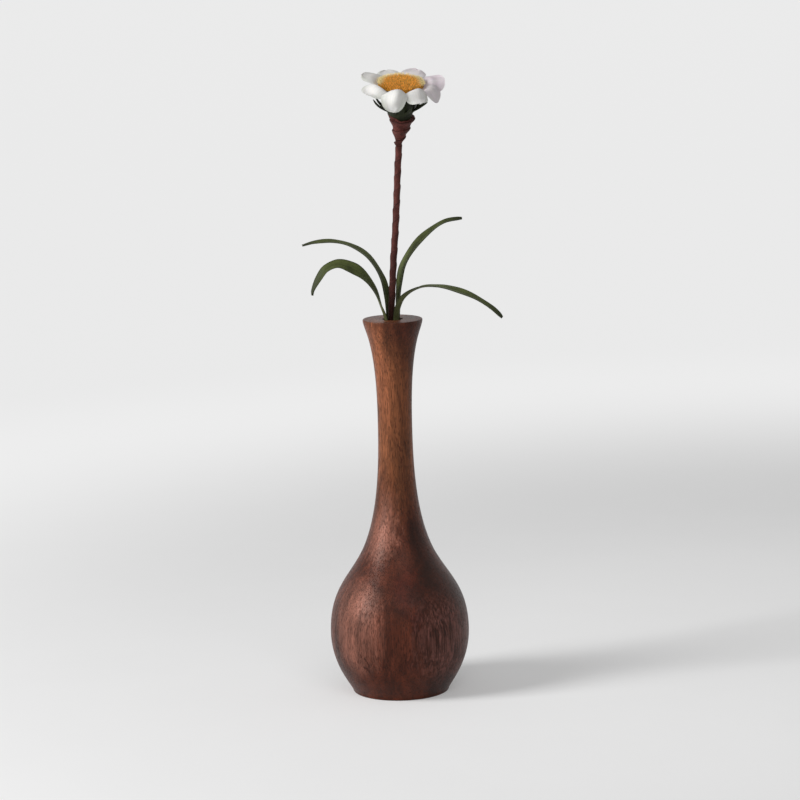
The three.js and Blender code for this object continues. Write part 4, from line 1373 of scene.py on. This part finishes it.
def disc_shape(sizes, draw):
    """The domed disc with its plug in the calyx and its brush of stamens."""
    pitch = sizes.petal_thickness + GAP
    under = CALYX_RIM + GAP + PETAL_LAYERS * pitch
    flange = under + DISC_FLANGE
    plug = CALYX_SEAT_RADIUS - GAP
    wide = sizes.disc_radius
    outline = [(0, SEAT_FLOOR + GAP), (plug, SEAT_FLOOR + GAP), (plug, under), (wide, under)]
    for i in range(DISC_ROWS):
        angle = i / DISC_ROWS * math.pi / 2
        outline.append((wide * math.cos(angle), flange + DISC_CROWN * math.sin(angle)))
    outline.append((0, flange + DISC_CROWN))
    points, faces = turned(outline, DISC_SIDES)
    plain = {"tip": 0.0, "hue": 0.3, "rim": 0.5, "side": 0.0}
    marks = {mark: [value] * len(points) for mark, value in plain.items()}
    # Stamens stand evenly on a spiral, and lean out more and grow longer towards the rim
    golden = math.pi * (3 - math.sqrt(5))
    for k in range(sizes.stamens):
        share = math.sqrt((k + 0.5) / sizes.stamens)
        radius = share * STAMEN_SPREAD * wide
        surface = flange + DISC_CROWN * math.sqrt(1 - (radius / wide) ** 2)
        turn = k * golden + draw.uniform(-0.03, 0.03)
        front = ease(-math.sin(turn), 0.1, 0.8)
        splay = math.radians(mix(3, mix(32, 12, front), share**1.6) + draw.uniform(-8, 8))
        sway = draw.uniform(-0.25, 0.25)
        long = sizes.stamen_length * mix(0.72, 1.05, share) * draw.uniform(0.75, 1.2)
        hue = draw.random()
        own = {"rim": share * mix(1, 0.55, front), "side": abs(math.cos(turn)), "hue": hue}
        out = Vector((math.cos(turn), math.sin(turn), 0))
        beside = Vector((-out.y, out.x, 0))
        foot = out * radius + Vector((0, 0, surface - STAMEN_ROOT))
        lean = out * math.sin(splay) + Vector((0, 0, math.cos(splay))) + beside * sway
        lean.normalize()
        across = lean.cross(beside).normalized()
        other = across.cross(lean)
        rings = []
        for at, thick in STAMEN_PROFILE:
            curl = across * (-STAMEN_CURL * long * at * at)
            centre = foot + lean * (long * at) + curl
            radius = sizes.stamen_radius * thick
            rings.append(circle(centre, across, other, radius, STAMEN_SIDES))
            marks["tip"] += [at] * STAMEN_SIDES
        marks["tip"] += [0.0, 1.0]
        stamen, sides = loft(rings)
        for mark, value in own.items():
            marks[mark] += [value] * len(stamen)
        first = len(points)
        points += stamen
        faces += [tuple(first + i for i in face) for face in sides]
    return (points, faces), marks


# Operators


class BUDVASE_OT_turn_body(bpy.types.Operator):
    """Turns the walnut body with its bore"""

    bl_idname = "bud_vase.turn_body"
    bl_label = "Turn vase body"

    def execute(self, context):
        finish = finish_named("walnut_oiled", walnut_finish)
        shape = vase_shape(context.scene.bud_vase_vase)
        make_piece("walnut_body", shape, finish, "vase", "walnut", ["vase_body"], sharp=50)
        return {"FINISHED"}


class BUDVASE_OT_wind_stem(bpy.types.Operator):
    """Winds the tape on the stem and round the leaf shanks, and finishes the wire"""

    bl_idname = "bud_vase.wind_stem"
    bl_label = "Wind stem"

    def execute(self, context):
        sizes = context.scene.bud_vase_spray
        finish = finish_named("crepe_tape", tape_finish)
        draw = random.Random(STEM_SEED)
        for name, maker, node in (
            ("stem_winding", stem_shape, "stem_tape"),
            ("binding_winding", binding_shape, "leaf_binding"),
        ):
            shape, phases = maker(sizes, draw)
            make_piece(
                name, shape, finish, "flower_spray", "stem_tape", [node], {"phase": phases}
            )
        dress("stem_wire", wire_finish())
        return {"FINISHED"}


class BUDVASE_OT_shape_leaves(bpy.types.Operator):
    """Shapes the four leaves on their shanks"""

    bl_idname = "bud_vase.shape_leaves"
    bl_label = "Shape leaves"

    def execute(self, context):
        finish = finish_named("leaf_green", leaf_finish)
        for leaf in LEAVES:
            shape, marks = leaf_shape(context.scene.bud_vase_spray, leaf)
            name = leaf["node"].replace("leaf_", "blade_")
            make_piece(name, shape, finish, "flower_spray", "leaf", [leaf["node"]], marks)
        return {"FINISHED"}


class BUDVASE_OT_wind_bud(bpy.types.Operator):
    """Winds the tape cone under the flower"""

    bl_idname = "bud_vase.wind_bud"
    bl_label = "Wind bud"

    def execute(self, context):
        finish = finish_named("crepe_tape", tape_finish)
        shape, phases = bud_shape(context.scene.bud_vase_spray, random.Random(BUD_SEED))
        marks = {"phase": phases}
        make_head_piece("bud_winding", shape, finish, "stem_tape", "bud_tape", marks=marks)
        return {"FINISHED"}


class BUDVASE_OT_shape_calyx(bpy.types.Operator):
    """Shapes the calyx cup and its sepals"""

    bl_idname = "bud_vase.shape_calyx"
    bl_label = "Shape calyx"

    def execute(self, context):
        finish = finish_named("calyx_green", calyx_finish)
        make_head_piece("green_cup", calyx_shape(), finish, "calyx", "calyx_cup")
        for i, sepal in enumerate(SEPALS, 1):
            shape = sepal_shape(context.scene.bud_vase_flower, *sepal)
            make_head_piece(f"green_sepal_{i}", shape, finish, "calyx", f"sepal_{i}")
        return {"FINISHED"}


class BUDVASE_OT_shape_petals(bpy.types.Operator):
    """Shapes the petals in their two layers"""

    bl_idname = "bud_vase.shape_petals"
    bl_label = "Shape petals"

    def execute(self, context):
        finish = finish_named("petal_white", petal_finish)
        sizes = context.scene.bud_vase_flower
        draw = random.Random(PETAL_SEED)
        for i, petal in enumerate(PETALS, 1):
            shape, marks = petal_shape(sizes, petal, i % PETAL_LAYERS, draw)
            make_head_piece(
                f"white_petal_{i}", shape, finish, "petal", f"petal_{i}", marks=marks, sharp=80
            )
        return {"FINISHED"}


class BUDVASE_OT_plant_stamens(bpy.types.Operator):
    """Makes the golden disc with its stamens"""

    bl_idname = "bud_vase.plant_stamens"
    bl_label = "Plant stamens"

    def execute(self, context):
        finish = finish_named("stamen_gold", stamen_finish)
        draw = random.Random(STAMEN_SEED)
        shape, marks = disc_shape(context.scene.bud_vase_flower, draw)
        make_head_piece("golden_disc", shape, finish, "flower_disc", "flower_disc", marks=marks)
        return {"FINISHED"}


class BUDVASE_OT_set_stage(bpy.types.Operator):
    """Lays the pale floor and sets the lamps and the camera"""

    bl_idname = "bud_vase.set_stage"
    bl_label = "Set stage"

    def execute(self, context):
        settings = context.scene.bud_vase_stage
        lay_floor(settings)
        light_world(settings)
        add_lamp("key_lamp", *KEY_LAMP, settings.key_power)
        add_lamp("fill_lamp", *FILL_LAMP, settings.fill_power)
        add_camera()
        context.scene.view_settings.view_transform = "Standard"
        return {"FINISHED"}


# Stage


def lay_floor(settings):
    """A wide pale floor that keeps the shadow and looks even to the camera."""
    mesh = bpy.data.meshes.new("floor")
    turns = ((-1, -1), (1, -1), (1, 1), (-1, 1))
    corners = [(x * FLOOR_REACH, y * FLOOR_REACH, 0) for x, y in turns]
    mesh.from_pydata(corners, [], [(0, 1, 2, 3)])
    floor = bpy.data.objects.new("floor", mesh)
    bpy.context.scene.collection.objects.link(floor)
    finish = Finish("pale_floor")
    place = finish.coordinates()
    speck = finish.noise(place, 0.02, 3, 0.5)
    colour = finish.vary(settings.floor, speck, 0.2, 0.8, 0.985, 1.0)
    seen = finish.seen()
    away = finish.length(finish.vector("SUBTRACT", place, FLOOR_MIDDLE))
    far = finish.rise(away, *FLOOR_FADE)
    finish.finish(finish.shade(colour, finish.less(seen, far)), 0.9, Specular_IOR_Level=0.1)
    level = finish.times(seen, finish.rise(far, 0.0, 1.0, settings.floor_glow, 1.0))
    glow = finish.node("Emission", {"Color": tuple(settings.floor), "Strength": level})
    both = finish.node("AddShader", {0: finish.shader.outputs[0], 1: glow.outputs[0]})
    output = finish.tree.nodes["Material Output"]
    finish.tree.links.new(both.outputs[0], output.inputs["Surface"])
    mesh.materials.append(finish.material)


def light_world(settings):
    """Even soft light from all round, with a pale background for what sees it."""
    world = bpy.data.worlds.new("studio")
    bpy.context.scene.world = world
    world.use_nodes = True
    world.node_tree.nodes.clear()
    nodes = Nodes(world.node_tree)
    light = nodes.node("Background", {"Color": (1, 1, 1), "Strength": settings.ambient})
    backdrop = nodes.node("Background", {"Color": tuple(settings.floor)})
    sources = {0: nodes.seen(), 1: light.outputs[0], 2: backdrop.outputs[0]}
    both = nodes.node("MixShader", sources)
    nodes.node("OutputWorld", {"Surface": both.outputs[0]})


def add_lamp(name, place, size, power):
    """A soft area lamp that faces the middle of the vase."""
    light = bpy.data.lights.new(name, "AREA")
    light.shape = "RECTANGLE"
    light.size, light.size_y = size
    light.energy = power
    lamp = bpy.data.objects.new(name, light)
    lamp.location = place
    aim = Vector((0, 0, VASE_HEIGHT / 2)) - lamp.location
    lamp.rotation_euler = aim.to_track_quat("-Z", "Y").to_euler()
    bpy.context.scene.collection.objects.link(lamp)


def add_camera():
    """The camera at the photograph's angle, rolled as the photograph leans."""
    lens = bpy.data.cameras.new("camera")
    lens.sensor_width = CAMERA_SENSOR
    lens.lens = CAMERA_LENS
    camera = bpy.data.objects.new("camera", lens)
    upright = Matrix.Rotation(math.radians(90 - CAMERA_PITCH), 4, "X")
    roll = Matrix.Rotation(math.radians(-CAMERA_ROLL), 4, "Z")
    camera.matrix_world = Matrix.Translation(CAMERA_PLACE) @ upright @ roll
    bpy.context.scene.collection.objects.link(camera)
    bpy.context.scene.camera = camera


STEPS = (
    BUDVASE_OT_set_stage,
    BUDVASE_OT_turn_body,
    BUDVASE_OT_wind_stem,
    BUDVASE_OT_shape_leaves,
    BUDVASE_OT_wind_bud,
    BUDVASE_OT_shape_calyx,
    BUDVASE_OT_shape_petals,
    BUDVASE_OT_plant_stamens,
)
GROUPS = {
    "bud_vase_vase": VaseSizes,
    "bud_vase_spray": SpraySizes,
    "bud_vase_flower": FlowerSizes,
    "bud_vase_colours": FinishColours,
    "bud_vase_stage": StageSettings,
}


class BUDVASE_PT_panel(bpy.types.Panel):
    """Lists the steps that make the vase and its flower"""

    bl_idname = "BUDVASE_PT_panel"
    bl_label = "Bud Vase"
    bl_space_type = "VIEW_3D"
    bl_region_type = "UI"
    bl_category = "Bud Vase"

    def draw(self, context):
        for step in STEPS:
            self.layout.operator(step.bl_idname)
        for name, group in GROUPS.items():
            box = self.layout.box()
            box.label(text=group.__doc__)
            for field in group.__annotations__:
                box.prop(getattr(context.scene, name), field)


def register():
    """Adds the sizes, the steps and the panel."""
    for group in (*GROUPS.values(), *STEPS, BUDVASE_PT_panel):
        bpy.utils.register_class(group)
    for name, group in GROUPS.items():
        setattr(bpy.types.Scene, name, bpy.props.PointerProperty(type=group))


def unregister():
    """Takes them away again."""
    for name in GROUPS:
        delattr(bpy.types.Scene, name)
    for group in (BUDVASE_PT_panel, *reversed(STEPS), *reversed(GROUPS.values())):
        bpy.utils.unregister_class(group)


def main():
    """Makes every piece in order."""
    register()
    bpy.ops.bud_vase.set_stage()
    bpy.ops.bud_vase.turn_body()
    bpy.ops.bud_vase.wind_stem()
    bpy.ops.bud_vase.shape_leaves()
    bpy.ops.bud_vase.wind_bud()
    bpy.ops.bud_vase.shape_calyx()
    bpy.ops.bud_vase.shape_petals()
    bpy.ops.bud_vase.plant_stamens()


if __name__ == "__main__":
    main()
